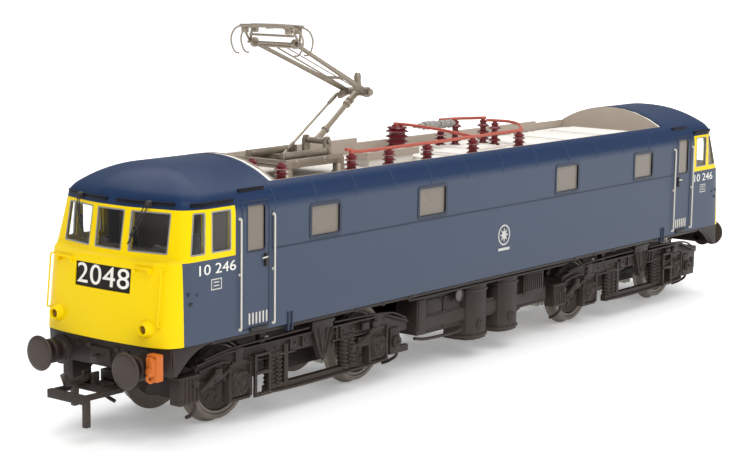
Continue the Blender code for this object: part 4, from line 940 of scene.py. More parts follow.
for x in np.linspace(-33.5, -15.5, 4):
    lining.append(block("tray_bar", (x, x + 0.5), (-4.9, -0.1), (47.2, 47.7), 0.08))
for sign in (-1, 1):
    outline = [(y, roof_height(y) + 0.02) for y in np.linspace(-14.3, 14.3, 30)]
    outline += [(14.3, DECK_Z), (-14.3, DECK_Z)]
    low, high = (sign * 74.4, sign * 74.65)
    lining.append(sheet_metal("bulkhead_face", "YZ", [outline], low, high))
assembled("well_lining", lining, "locomotive", curb_grey, "roof_grey")


# ---------------------------------------------------------------- insulators, circuit breaker and busbars
# Ribbed maroon insulators carry red painted brass busbars along the near side of the roof; the air-blast
# circuit breaker is a silver drum on its own posts. Each insulator is turned in one piece, capped at the top.
def insulator(x, y, top, sheds, body=1.0, shed=1.55):
    low, high = 45.7, top - 0.75
    step = (high - low) / sheds
    profile = [(0, top + 0.1), (body * 0.45, top + 0.1), (body * 0.5, top - 0.2), (body * 0.85, top - 0.3),
               (body * 0.9, high + 0.1)]
    profile += [(body * 0.75, high)]
    for number in range(sheds):
        z = high - step * number
        profile += [(body * 0.72, z - step * 0.12), (shed * 0.93, z - step * 0.42), (shed, z - step * 0.52)]
        profile += [(shed * 0.93, z - step * 0.6), (body * 0.72, z - step * 0.72)]
    profile += [(body * 0.85, low), (shed * 0.82, low - 0.1), (shed * 0.88, DECK_Z), (0, DECK_Z)]
    return turned("insulator", profile, (x, y, 0), "+Z", 28)


maroon = finish("insulator_maroon", (0.15, 0.016, 0.020), 0.28, mottle=0.15, grain_mm=0.3, coat=0.4)
busbar_red = finish("busbar_red", (0.42, 0.085, 0.055), 0.4, mottle=0.12, worn_colour=(0.75, 0.35, 0.25),
                    wear_mm=0.2)
near_row = (-69.6, -47.7, -35.1, -21.6, -4.5, 14.0)
row = [insulator(x, -12.0, 49.3, 3, 1.3, 1.5)
       for x in near_row] + [insulator(-69.6, -4.3, 49.5, 3, 1.3, 1.5)]
assembled("line_insulators", row, "locomotive", maroon, "insulator_red",
          *[f"insulator_{n}" for n in range(1, 7)])
placed(insulator(-7.2, 7.2, 51.1, 4, 2.6, 2.75), "locomotive", maroon, "insulator_red",
       "main_insulator").name = "main_insulator_post"

posts = []
for x, y, top in ((9.7, 7.2, 48.8), (12.1, 4.7, 51.3), (20.1, 2.3, 51.1), (19.6, -1.4, 50.7)):
    posts.append(insulator(x, y, top, 3, 1.0, 1.5))
assembled("breaker_posts", posts, "locomotive", maroon, "insulator_red", "circuit_breaker")
plinth = [block("plinth", (7.8, 22.2), (-3.2, 9.2), (DECK_Z, 45.3), 0.1),
          block("plinth_top", (8.6, 21.4), (-2.4, 8.4), (45.2, 45.5), 0.1)]
assembled("breaker_plinth", plinth, "locomotive", deck_paint, "roof_grey")
drum_start, drum_end = Vector((12.6, 4.65, 50.55)), Vector((-2.2, 6.2, 50.55))
drum_bits = []
for start, end, radius in ((0.0, 0.16, 0.62), (0.14, 0.42, 0.92), (0.4, 0.52, 0.7), (0.5, 0.78, 0.98),
                           (0.76, 0.88, 0.66), (0.86, 1.0, 0.42)):
    a, b = drum_start.lerp(drum_end, start), drum_start.lerp(drum_end, end)
    drum_bits.append(rod("drum", [tuple(a), tuple(b)], radius, 6))
for share in (0.18, 0.3, 0.55, 0.66):
    middle = drum_start.lerp(drum_end, share)
    drum_bits.append(rod("drum_band", [tuple(middle), tuple(middle + Vector((-0.35, 0.04, 0)))], 1.06, 6))
aluminium = finish("breaker_aluminium", (0.34, 0.32, 0.30), 0.42, metallic=0.35, mottle=0.35, patch=2.0,
                   grain_mm=0.4, bump=0.3)
assembled("breaker_drum", drum_bits, "locomotive", aluminium, "insulator_red")

line_bar = [(-49.6, -12.0, 50.35), (-48.4, -12.0, 50.25), (-46.9, -12.0, 49.8), (-44.5, -12.0, 49.6),
            (-41.0, -12.0, 49.6), (-35.1, -12.0, 49.6), (-21.6, -12.0, 49.6)]
line_bar += [(-4.5, -12.0, 49.7), (6.0, -12.0, 49.8), (14.0, -12.0, 49.8), (15.2, -12.0, 49.9)]
main_bar = [(-7.6, 8.0, 51.48), (-7.2, 7.2, 51.45), (-6.7, 3.2, 51.35), (-6.0, -3.0, 50.9),
            (-5.0, -8.6, 50.2), (-4.3, -11.9, 49.75)]
breaker_bar = [(7.4, 5.9, 51.5), (12.1, 4.7, 51.55), (17.0, 3.2, 51.45), (20.7, 2.1, 51.4)]
down_bar = [(18.2, 0.2, 51.1), (19.6, -1.4, 51.05), (21.0, -4.2, 50.9), (20.2, -7.4, 50.6),
            (17.0, -10.4, 50.1), (14.0, -12.0, 49.8)]
bars = [rod("busbar", eased(path, 6), 0.36, 3) for path in (line_bar, main_bar, breaker_bar, down_bar)]
for x, y, z in ((-47.7, -12, 49.5), (-35.1, -12, 49.4), (-21.6, -12, 49.4), (-4.5, -12, 49.5),
                (14, -12, 49.6), (-7.2, 7.2, 51.3), (12.1, 4.7, 51.4), (20.1, 2.3, 51.2)):
    bars.append(turned("busbar_clamp", [(0, 0.62), (0.3, 0.55), (0.5, 0.3), (0.5, 0), (0, 0)],
                       (x, y, z - 0.1), "+Z", 16))
assembled("busbars", bars, "locomotive", busbar_red, "insulator_red", "busbar_line", "busbar_main",
          "busbar_breaker")


# ---------------------------------------------------------------- bolt heads, rivets and coil springs
# Small fixings shared by the roof, frames and bogies, laid out from lists of points by Geometry Nodes.
def laid_out(name, inputs, shape):
    """A Geometry Nodes tree that stands a shape on every point, turned to face the point's outward way."""
    tree = bpy.data.node_groups.new(name, "GeometryNodeTree")
    tree.interface.new_socket("Geometry", in_out="INPUT", socket_type="NodeSocketGeometry")
    for label, kind in inputs.items():
        tree.interface.new_socket(label, in_out="INPUT", socket_type="NodeSocket" + kind)
    tree.interface.new_socket("Geometry", in_out="OUTPUT", socket_type="NodeSocketGeometry")
    given = tree.nodes.new("NodeGroupInput").outputs
    way = tree.nodes.new("GeometryNodeInputNamedAttribute")
    way.data_type = "FLOAT_VECTOR"
    fed(way, Name="outward")
    turn = node(tree, "FunctionNodeAlignRotationToVector",
                Vector=way.outputs["Attribute"]).outputs["Rotation"]
    stood = {"Points": given["Geometry"], "Instance": shape(tree, given), "Rotation": turn}
    copies = node(tree, "GeometryNodeInstanceOnPoints", **stood)
    real = node(tree, "GeometryNodeRealizeInstances", Geometry=copies.outputs["Instances"])
    dressed = node(tree, "GeometryNodeSetMaterial", Geometry=real.outputs["Geometry"],
                   Material=given["Material"])
    node(tree, "NodeGroupOutput", Geometry=dressed.outputs["Geometry"])
    return tree


def generated(name, spots, tree, **values):
    """The plain mesh that a Geometry Nodes tree makes from (place, the way that it faces) pairs."""
    mesh = bpy.data.meshes.new(name)
    mesh.from_pydata([Vector(place) * MM for place, _ in spots], [], [])
    facing = mesh.attributes.new("outward", "FLOAT_VECTOR", "POINT")
    for number, (_, way) in enumerate(spots):
        facing.data[number].vector = Vector(way).normalized()
    made = linked(bpy.data.objects.new(name, mesh))
    modifier = made.modifiers.new("laid_out", "NODES")
    modifier.node_group = tree
    for item in tree.interface.items_tree:
        if item.in_out == "INPUT" and item.name.replace(" ", "_") in values:
            modifier[item.identifier] = values[item.name.replace(" ", "_")]
    return applied(made)


def bolt_head(tree, given):
    radius = given["Head Radius"]
    top = math_node(tree, "MULTIPLY", radius, 0.72)
    sizes = {"Vertices": given["Sides"], "Radius_Bottom": radius, "Radius_Top": top,
             "Depth": given["Head Height"]}
    return node(tree, "GeometryNodeMeshCone", **sizes).outputs["Mesh"]


def coil_spring(tree, given):
    radius = given["Coil Radius"]
    sizes = {"Rotations": given["Turns"], "Start_Radius": radius, "End_Radius": radius,
             "Height": given["Length"]}
    coil = node(tree, "GeometryNodeCurveSpiral", Resolution=14, **sizes).outputs["Curve"]
    wire = node(tree, "GeometryNodeCurvePrimitiveCircle", Resolution=7,
                Radius=given["Wire Radius"]).outputs["Curve"]
    return node(tree, "GeometryNodeCurveToMesh", Curve=coil, Profile_Curve=wire,
                Fill_Caps=True).outputs["Mesh"]


bolt_sizes = {"Head Radius": "Float", "Head Height": "Float", "Sides": "Int", "Material": "Material"}
bolt_tree = laid_out("bolt_heads", bolt_sizes, bolt_head)
spring_sizes = {"Coil Radius": "Float", "Wire Radius": "Float", "Turns": "Float", "Length": "Float"}
spring_tree = laid_out("coil_springs", {**spring_sizes, "Material": "Material"}, coil_spring)


def bolts(name, spots, radius, height, material, sides=6):
    sizes = {"Head_Radius": radius * MM, "Head_Height": height * MM, "Sides": sides}
    return generated(name, spots, bolt_tree, Material=material, **sizes)


rivet_spots = []
for x in SEAM_X[1:-1]:
    for side in (-1, 1):
        for z in np.arange(42.4, 46.4, 0.75):
            for shift in (-0.55, 0.55):
                slope = (half_width(z + 0.05) - half_width(z - 0.05)) / 0.1
                rivet_spots.append(((x + shift, side * half_width(z), z), (0, side, -slope)))
for side in (-1, 1):
    for x in np.arange(-74.5, 75, 1.5):
        y = 15.15
        rivet_spots.append(((x, side * y, roof_height(y) + 0.01),
                            (0, side * y, math.sqrt(ROOF_R**2 - y * y))))
rivets = bolts("roof_rivets", rivet_spots, 0.14, 0.09, seam_paint)
placed(rivets, "locomotive", seam_paint, "blue_paint")


# ---------------------------------------------------------------- pantograph
# A single-arm pantograph in blackened nickel silver: a box base on four posts with two balance springs,
# a lower arm with a knee horn, forked upper arm, thin control rod, and a two-strip head with wire horns.
nickel = finish("pantograph_nickel", (0.29, 0.245, 0.19), 0.4, metallic=0.5, mottle=0.3, patch=3.0,
                grain_mm=0.35, bump=0.25, worn_colour=(0.55, 0.5, 0.42), wear_mm=0.2, wear_amount=0.5)
SHOULDER, KNEE, HEAD_PIVOT = (-44.5, 51.0), (-31.0, 60.5), (-57.9, 71.7)
ROD_BASE, ROD_END = (-51.2, 48.2), (-33.44, 59.87)
base_bits = [refined("pantograph_base", 0.06),
             block("base_tray", (-61.8, -43.9), (-6.4, 6.4), (46.9, 47.5), 0.1)]
for side in (-1, 1):
    y = side * 6.35
    base_bits.append(block("base_cheek", (-61.9, -43.8), (y - 0.35, y + 0.35), (46.9, 48.7), 0.08))
    for x in (-58.4, -49.6):
        base_bits.append(turned("base_boss", [(0, 0.5), (0.55, 0.45), (0.75, 0.2), (0.75, 0), (0, 0)],
                                (x, side * 6.6, 48.0), toward("Y", side), 18))
    for x in (-61.4, -44.8):
        foot = [(0, 3.6), (0.9, 3.6), (0.95, 2.2), (1.25, 2.0), (1.25, 0.6), (1.5, 0.4), (1.5, 0.0), (0, 0)]
        base_bits.append(turned("base_foot", foot, (x, side * 6.3, DECK_Z), "+Z", 24))
    base_bits.append(rod("spring_guide", [(-60.5, side * 4.6, 49.2), (-46.4, side * 4.6, 49.3)], 0.16))
    base_bits.append(block("spring_anchor", (-61.0, -60.2), (side * 4.6 - 0.5, side * 4.6 + 0.5),
                           (48.3, 49.9), 0.08))
    base_bits.append(block("spring_lug", (-46.6, -45.9), (side * 4.6 - 0.5, side * 4.6 + 0.5), (48.1, 49.9),
                           0.08))
spring_spots = [((-60.3, y, 49.2), (1, 0, 0.006)) for y in (-4.6, 4.6)]
springs = generated("balance_springs", spring_spots, spring_tree, Coil_Radius=0.62 * MM,
                    Wire_Radius=0.15 * MM, Turns=26.0, Length=13.2 * MM, Material=nickel)
base_bits.append(springs)
assembled("pantograph_base_frame", base_bits, "locomotive", nickel, "nickel_silver", "pantograph_base")


def between(first, second, share, y=0.0):
    return (first[0] + (second[0] - first[0]) * share, y, first[1] + (second[1] - first[1]) * share)


def tapered(name, points, radii):
    """A round tube whose radius changes along straight points."""
    start, end = Vector(points[0]), Vector(points[-1])
    length = (end - start).length
    profile = [(0, 0)] + [(radius, length * number / (len(radii) - 1)) for number,
                          radius in enumerate(radii)] + [(0, length)]
    made = turned(name, profile, (0, 0, 0), "+Z", 20)
    turn = (end - start).to_track_quat("Z", "Y").to_matrix().to_4x4()
    made.data.transform(Matrix.Translation(start * MM) @ turn)
    return made


lower = [tapered("lower_tube", [between(SHOULDER, KNEE, 0), between(SHOULDER, KNEE, 1)],
                 [0.8, 0.66, 0.56, 0.54, 0.56, 0.66, 0.75])]
lower.append(rod("shoulder_tube", [(SHOULDER[0], -2.1, SHOULDER[1]), (SHOULDER[0], 2.1, SHOULDER[1])], 0.7,
                 6))
lower.append(rod("shoulder_pin", [(SHOULDER[0], -3.6, SHOULDER[1]), (SHOULDER[0], 3.2, SHOULDER[1])], 0.45,
                 5))
lower.append(rod("knee_tube", [(KNEE[0], -1.9, KNEE[1]), (KNEE[0], 1.9, KNEE[1])], 0.9, 6))
lower.append(rod("knee_pin", [(KNEE[0], -4.0, KNEE[1]), (KNEE[0], 4.0, KNEE[1])], 0.48, 5))
lower.append(tapered("knee_horn", [(KNEE[0], 0, KNEE[1]), (-30.9, 0, 64.5)],
                     [0.75, 0.88, 0.88, 0.72, 0.8, 0.5]))
for y in (-3.75, 3.75):
    lower.append(turned("knee_nut", [(0, 0.25), (0.8, 0.25), (0.8, -0.15), (0, -0.15)],
                        (KNEE[0], y, KNEE[1]), "+Y", 6))
for share in (0.2, 0.72, 0.8):
    a, b = between(SHOULDER, KNEE, share), between(SHOULDER, KNEE, share + 0.035)
    lower.append(rod("arm_collar", [a, b], 0.88, 6))
assembled("lower_arm_tube", lower, "pantograph_lower_arm", nickel, "nickel_silver", "pantograph_lower_arm")

upper = [refined("pantograph_upper_arm", 0.05, 1)]
for side in (-1, 1):
    a, b = between(KNEE, HEAD_PIVOT, 0.03, side * 2.72), between(KNEE, HEAD_PIVOT, 0.985, side * 5.42)
    upper.append(tapered("arm_tube", [a, b], [0.58, 0.56, 0.5, 0.45, 0.42, 0.4]))
    upper.append(rod("eye_boss", [(HEAD_PIVOT[0], side * 5.0, HEAD_PIVOT[1]),
                                  (HEAD_PIVOT[0], side * 5.1, HEAD_PIVOT[1])], 0.7, 5))
upper.append(rod("levelling_rod", [between(KNEE, HEAD_PIVOT, 0.1, 1.5),
                                   between(KNEE, HEAD_PIVOT, 0.9, 1.5)], 0.17))
upper.append(rod("levelling_wire", eased([between(KNEE, HEAD_PIVOT, 0.1, -1.4),
                                          between(KNEE, HEAD_PIVOT, 0.5, -1.3),
                                          between(KNEE, HEAD_PIVOT, 0.93, -1.2)]), 0.12))
assembled("upper_arm_fork", upper, "pantograph_upper_arm", nickel, "nickel_silver", "pantograph_upper_arm")

control = [refined("pantograph_control_rod", 0.04, 1)]
control.append(tapered("rod_sleeve",
                       [between(ROD_BASE, ROD_END, 0.08, 3.6), between(ROD_BASE, ROD_END, 0.2, 3.6)],
                       [0.36, 0.42, 0.42, 0.36]))
control.append(tapered("rod_fork", [between(ROD_BASE, ROD_END, 0.84, 3.6),
                                    between(ROD_BASE, ROD_END, 0.97, 3.6)], [0.36, 0.44, 0.44]))
assembled("control_rod", control, "pantograph_control_rod", nickel, "nickel_silver",
          "pantograph_control_rod")

head_bits = [rod("head_shaft", [(HEAD_PIVOT[0], -7.2, HEAD_PIVOT[1]), (HEAD_PIVOT[0], 7.2, HEAD_PIVOT[1])],
                 0.28, 5)]
horn = [(7.4, 69.5), (8.3, 69.6), (9.1, 70.4), (9.6, 71.9), (9.4, 73.2), (8.5, 74.4), (6.7, 75.15)]
for x in (-57.4, -60.4):
    for side in (-1, 1):
        head_bits.append(rod("horn", [(x, side * y, z) for x, y,
                                      z in eased([(x, y, z) for y, z in horn], 5)], 0.17))
        head_bits.append(rod("stay", [(HEAD_PIVOT[0], side * 6.6, HEAD_PIVOT[1]), (x, side * 6.5, 75.1)],
                             0.24, 4))
        head_bits.append(block("spring_box", (x - 0.55, x + 0.55), (side * 5.2, side * 6.4), (73.7, 75.0),
                               0.15))
    bow = [(x, y, 75.22 + 0.1 * math.cos(y / 6.7 * math.pi / 2)) for y in np.linspace(-6.7, 6.7, 13)]
    head_bits.append(swept("collector_strip", bow, 1.45, 0.4))
    head_bits.append(swept("strip_edge", [(x + 0.62, y, z - 0.2) for x, y, z in bow], 0.16, 0.5))
    head_bits.append(swept("strip_edge", [(x - 0.62, y, z - 0.2) for x, y, z in bow], 0.16, 0.5))
for y in (-4.6, 0.0, 4.6):
    head_bits.append(rod("head_tie", [(-60.4, y, 74.85), (-57.4, y, 74.85)], 0.22, 4))
head_bits.append(rod("equalising_bar", [(-58.9, -5.8, 73.3), (-58.9, 5.8, 73.3)], 0.24, 4))
assembled("pantograph_head_frame", head_bits, "pantograph_head", nickel, "nickel_silver", "pantograph_head")


# ---------------------------------------------------------------- cab interiors
# Each cab has a grey moulded floor and rear wall, a raked desk with a hooded panel and two seats.
# They show a little through the clear side windows and screens.
cab_plastic = finish("cab_interior_grey", (0.24, 0.20, 0.17), 0.6, mottle=0.12)
seat_plastic = finish("seat_dark_blue", (0.03, 0.035, 0.055), 0.6, mottle=0.2)
for word, sign in (("a", -1), ("b", 1)):
    room = [refined(f"cab_interior_{word}", 0.15)]
    seats = []
    room.append(block("desk_hood", (sign * 97.2, sign * 99.4), (-12.6, 12.6), (34.4, 35.0), 0.2))
    for y in (-8.5, 8.5):
        room.append(block("instrument_panel", (sign * 98.0, sign * 98.8), (y - 2.4, y + 2.4), (34.6, 36.0),
                          0.15))
        room.append(rod("control_handle", [(sign * 97.4, y + 2.9, 34.6), (sign * 96.8, y + 2.9, 36.0)],
                        0.22))
        seats.append(block("seat_cushion", (sign * 90.0, sign * 93.8), (y - 2.2, y + 2.2), (31.2, 32.2),
                           0.35))
        seats.append(block("seat_back_pad", (sign * 90.5, sign * 91.3), (y - 2.1, y + 2.1), (32.0, 37.2),
                           0.3))
    assembled(f"cab_room_{word}", room, "locomotive", cab_plastic, "cab_grey", f"cab_interior_{word}")
    assembled(f"cab_seats_{word}", seats, "locomotive", seat_plastic, "cab_grey")


# ---------------------------------------------------------------- underframe, buffer beams and sprung buffers
# One black moulding clips under the body: floor, solebars, curved beam and skirts at each end, with the
# buffer housings, pipe sockets and pipework fitted into it. Buffers are turned and slide in their housings.
BLACK = (0.022, 0.0145, 0.012)
frame_black = finish("underframe_black", BLACK, 0.5, mottle=0.3, patch=4.0, grain_mm=0.22, bump=0.3,
                     dust_top=16.0, dust_colour=(0.085, 0.065, 0.05), dust_amount=0.9,
                     worn_colour=(0.10, 0.085, 0.072), wear_mm=0.25, wear_amount=0.7)
under = [refined("underframe", 0.12)]
bolt_spots = []
for sign in (-1, 1):
    for side in (-1, 1):
        y = side * BUFFER_Y
        collar = [(1.85, 3.35), (2.25, 3.3), (2.35, 3.0), (2.35, 2.2), (2.1, 2.0), (2.0, 0.5), (2.9, 0.3),
                  (2.9, 0), (1.5, 0), (1.5, 3.35)]
        axis = toward("X", sign)
        under.append(turned("buffer_collar", collar + [collar[0]], (sign * 106.05, y, BUFFER_Z), axis, 40))
        for angle in (45, 135, 225, 315):
            a = math.radians(angle)
            place = (sign * 106.4, y + 2.5 * math.cos(a), BUFFER_Z + 2.5 * math.sin(a))
            bolt_spots.append((place, (sign, 0, 0)))
        under.append(block("pipe_socket", (sign * 105.9, sign * 106.6), (side * 6.0, side * 7.0),
                           (16.4, 17.3), 0.1))
        under.append(block("beam_step", (sign * 105.4, sign * 106.5), (side * 2.9, side * 4.4),
                           (16.6, 17.6), 0.1))
    under.append(block("draw_plate", (sign * 106.6, sign * 107.15), (-2.2, 2.2), (14.2, 16.8), 0.1))
    under.append(rod("draw_eye", [(sign * 107.1, -0.6, 15.6), (sign * 108.2, -0.5, 15.4),
                                  (sign * 108.2, 0.5, 15.4), (sign * 107.1, 0.6, 15.6)], 0.25))
    for x in np.arange(33, 60, 9.0):
        for side in (-1, 1):
            under.append(block("cable_clip", (sign * x - 0.4, sign * x + 0.4), (side * 15.6, side * 16.5),
                               (17.5, 18.2), 0.08))
for side in (-1, 1):
    pipe = [(-30.5, side * 15.8, 17.35), (-28.0, side * 15.9, 17.2), (24.0, side * 15.9, 17.2),
            (30.5, side * 15.8, 17.35)]
    under.append(rod("train_pipe", eased(pipe, 4), 0.32, 3))
under.append(bolts("beam_bolts", bolt_spots, 0.26, 0.3, frame_black))
assembled("underframe_moulding", under, "locomotive", frame_black, "black_plastic", "underframe")

buffer_metal = finish("buffer_blackened_steel", (0.050, 0.036, 0.030), 0.45, metallic=0.1, mottle=0.25,
                      patch=1.5, grain_mm=0.3, bump=0.25, worn_colour=(0.16, 0.14, 0.12), wear_mm=0.25,
                      wear_amount=0.6)
for word, sign in (("a", -1), ("b", 1)):
    for hand, side in (("right", -1), ("left", 1)):
        head = [(0, 0), (1.4, -0.01), (2.6, -0.05), (3.15, -0.16), (3.36, -0.34), (3.4, -0.5),
                (3.34, -0.66), (3.1, -0.78), (1.7, -0.92)]
        head += [(1.25, -1.15), (1.05, -1.4), (1.0, -1.6), (1.0, -7.5), (0, -7.5)]
        made = turned(f"buffer_head_{word}_{hand}", head, (sign * 112, side * BUFFER_Y, BUFFER_Z),
                      toward("X", sign), 64)
        placed(made, f"buffer_{word}_{hand}", buffer_metal, "black_plastic", f"buffer_{word}_{hand}")

# ---------------------------------------------------------------- jumper cable boxes
# An orange jumper socket hangs beside one buffer at each end, with a hinged lid, a plug and a short lead.
# It is a separate moulding, pushed into the skirt.
orange = finish("jumper_orange", (0.56, 0.13, 0.015), 0.42, mottle=0.2, patch=1.5,
                worn_colour=(0.72, 0.3, 0.1), wear_mm=0.2)
for word, sign in (("a", -1), ("b", 1)):
    y = sign * 14.9
    bits = [refined(f"jumper_{word}", 0.2)]
    face = sign * 108.9
    bits.append(block("lid", (face - sign * 0.4, face + sign * 0.25), (y - 0.75, y + 0.75), (15.8, 17.6),
                      0.15))
    bits.append(turned("plug", [(0, 0.9), (0.35, 0.9), (0.5, 0.7), (0.85, 0.6), (0.95, 0.3), (0.95, 0),
                                (0, 0)], (sign * 108.6, y, 14.9), toward("X", sign), 20))
    bits.append(rod("jumper_lead", eased([(sign * 108.9, y, 14.6), (sign * 109.1, y + 0.5, 13.7),
                                          (sign * 108.4, y + 0.3, 12.9), (sign * 107.6, y - 0.2, 13.4)], 5),
                                          0.3))
    bits.append(block("hinge", (sign * 107.2, sign * 108.2), (y - 1.45, y - 1.15), (16.9, 17.8), 0.08))
    assembled(f"jumper_box_{word}", bits, "locomotive", orange, "orange_plastic", f"jumper_{word}")

# ---------------------------------------------------------------- equipment tanks between the bogies
# Rounded transformer and battery casings in black plastic hang amidships, with bands, filler caps,
# pipes, a gauge on one box and inspection doors on the others.
tank_bits = [refined("equipment_tanks", 0.22)]
bolt_spots = []
for side in (-1, 1):
    def cube(name, x, y, z, bevel=0.1):
        tank_bits.append(block(name, x, (side * y[0], side * y[1]), z, bevel))

    for start in (-10.9, 1.5):
        for z in (5.6, 15.9):
            strap = [(start - 0.1, 12.2), (start + 0.5, 15.15), (start + 2.2, 16.12), (start + 4.5, 16.33),
                     (start + 6.8, 16.12), (start + 8.5, 15.15), (start + 9.1, 12.2)]
            tank_bits.append(swept("tank_band", eased([(x, side * y, z) for x, y in strap], 4), 0.3, 0.5))
        cap = [(0, 0.75), (0.9, 0.7), (1.05, 0.45), (1.3, 0.35), (1.3, 0), (0, 0)]
        tank_bits.append(turned("drain_cap", cap, (start + 4.5, side * 16.1, 8.0), toward("Y", side), 24))
    cube("end_door", (-28.0, -25.7), (14.8, 15.25), (9.5, 16.4))
    cube("battery_door", (-24.6, -18.4), (13.9, 14.3), (9.0, 15.8))
    cube("battery_door", (-17.8, -11.4), (13.9, 14.3), (9.0, 15.8))
    cube("battery_rail", (-25.2, -10.8), (13.9, 14.55), (12.1, 12.6), 0.06)
    cube("cooler", (13.6, 20.8), (14.9, 15.3), (12.2, 16.6))
    for number in range(8):
        cube("cooler_rib", (14.1 + number * 0.82, 14.4 + number * 0.82), (15.2, 15.6), (12.6, 16.2), 0.04)
    cube("far_shelf", (10.6, 22.4), (13.5, 14.4), (8.8, 9.4), 0.06)
    gauge_ring = [(1.3, 0.3), (1.5, 0.3), (1.56, 0.2), (1.56, 0), (1.25, 0), (1.3, 0.3)]
    tank_bits.append(turned("gauge_ring", gauge_ring, (-13.5, side * 15.3, 15.6), toward("Y", side), 28))
    pipe = [(-28.2, side * 14.2, 8.0), (-24.0, side * 14.6, 7.4), (-14.0, side * 14.6, 7.2),
            (-11.6, side * 14.9, 7.6)]
    tank_bits.append(rod("tank_pipe", eased(pipe, 5), 0.35))
    for x in (-24.2, -18.8, -17.4, -11.8):
        for z in (9.5, 15.3):
            bolt_spots.append(((x, side * 14.35, z), (0, side, 0)))
tank_bits.append(bolts("tank_bolts", bolt_spots, 0.2, 0.22, frame_black))
assembled("equipment_casings", tank_bits, "locomotive", frame_black, "black_plastic", "equipment_tanks")
dials = [turned("dial", [(0, 0.16), (1.3, 0.14), (1.3, 0), (0, 0)], (-13.5, side * 15.3, 15.6),
                toward("Y", side), 28) for side in (-1, 1)]
assembled("gauge_dials", dials, "locomotive",
          finish("gauge_dial_grey", (0.11, 0.095, 0.085), 0.4, mottle=0.3, patch=0.8), "black_plastic")


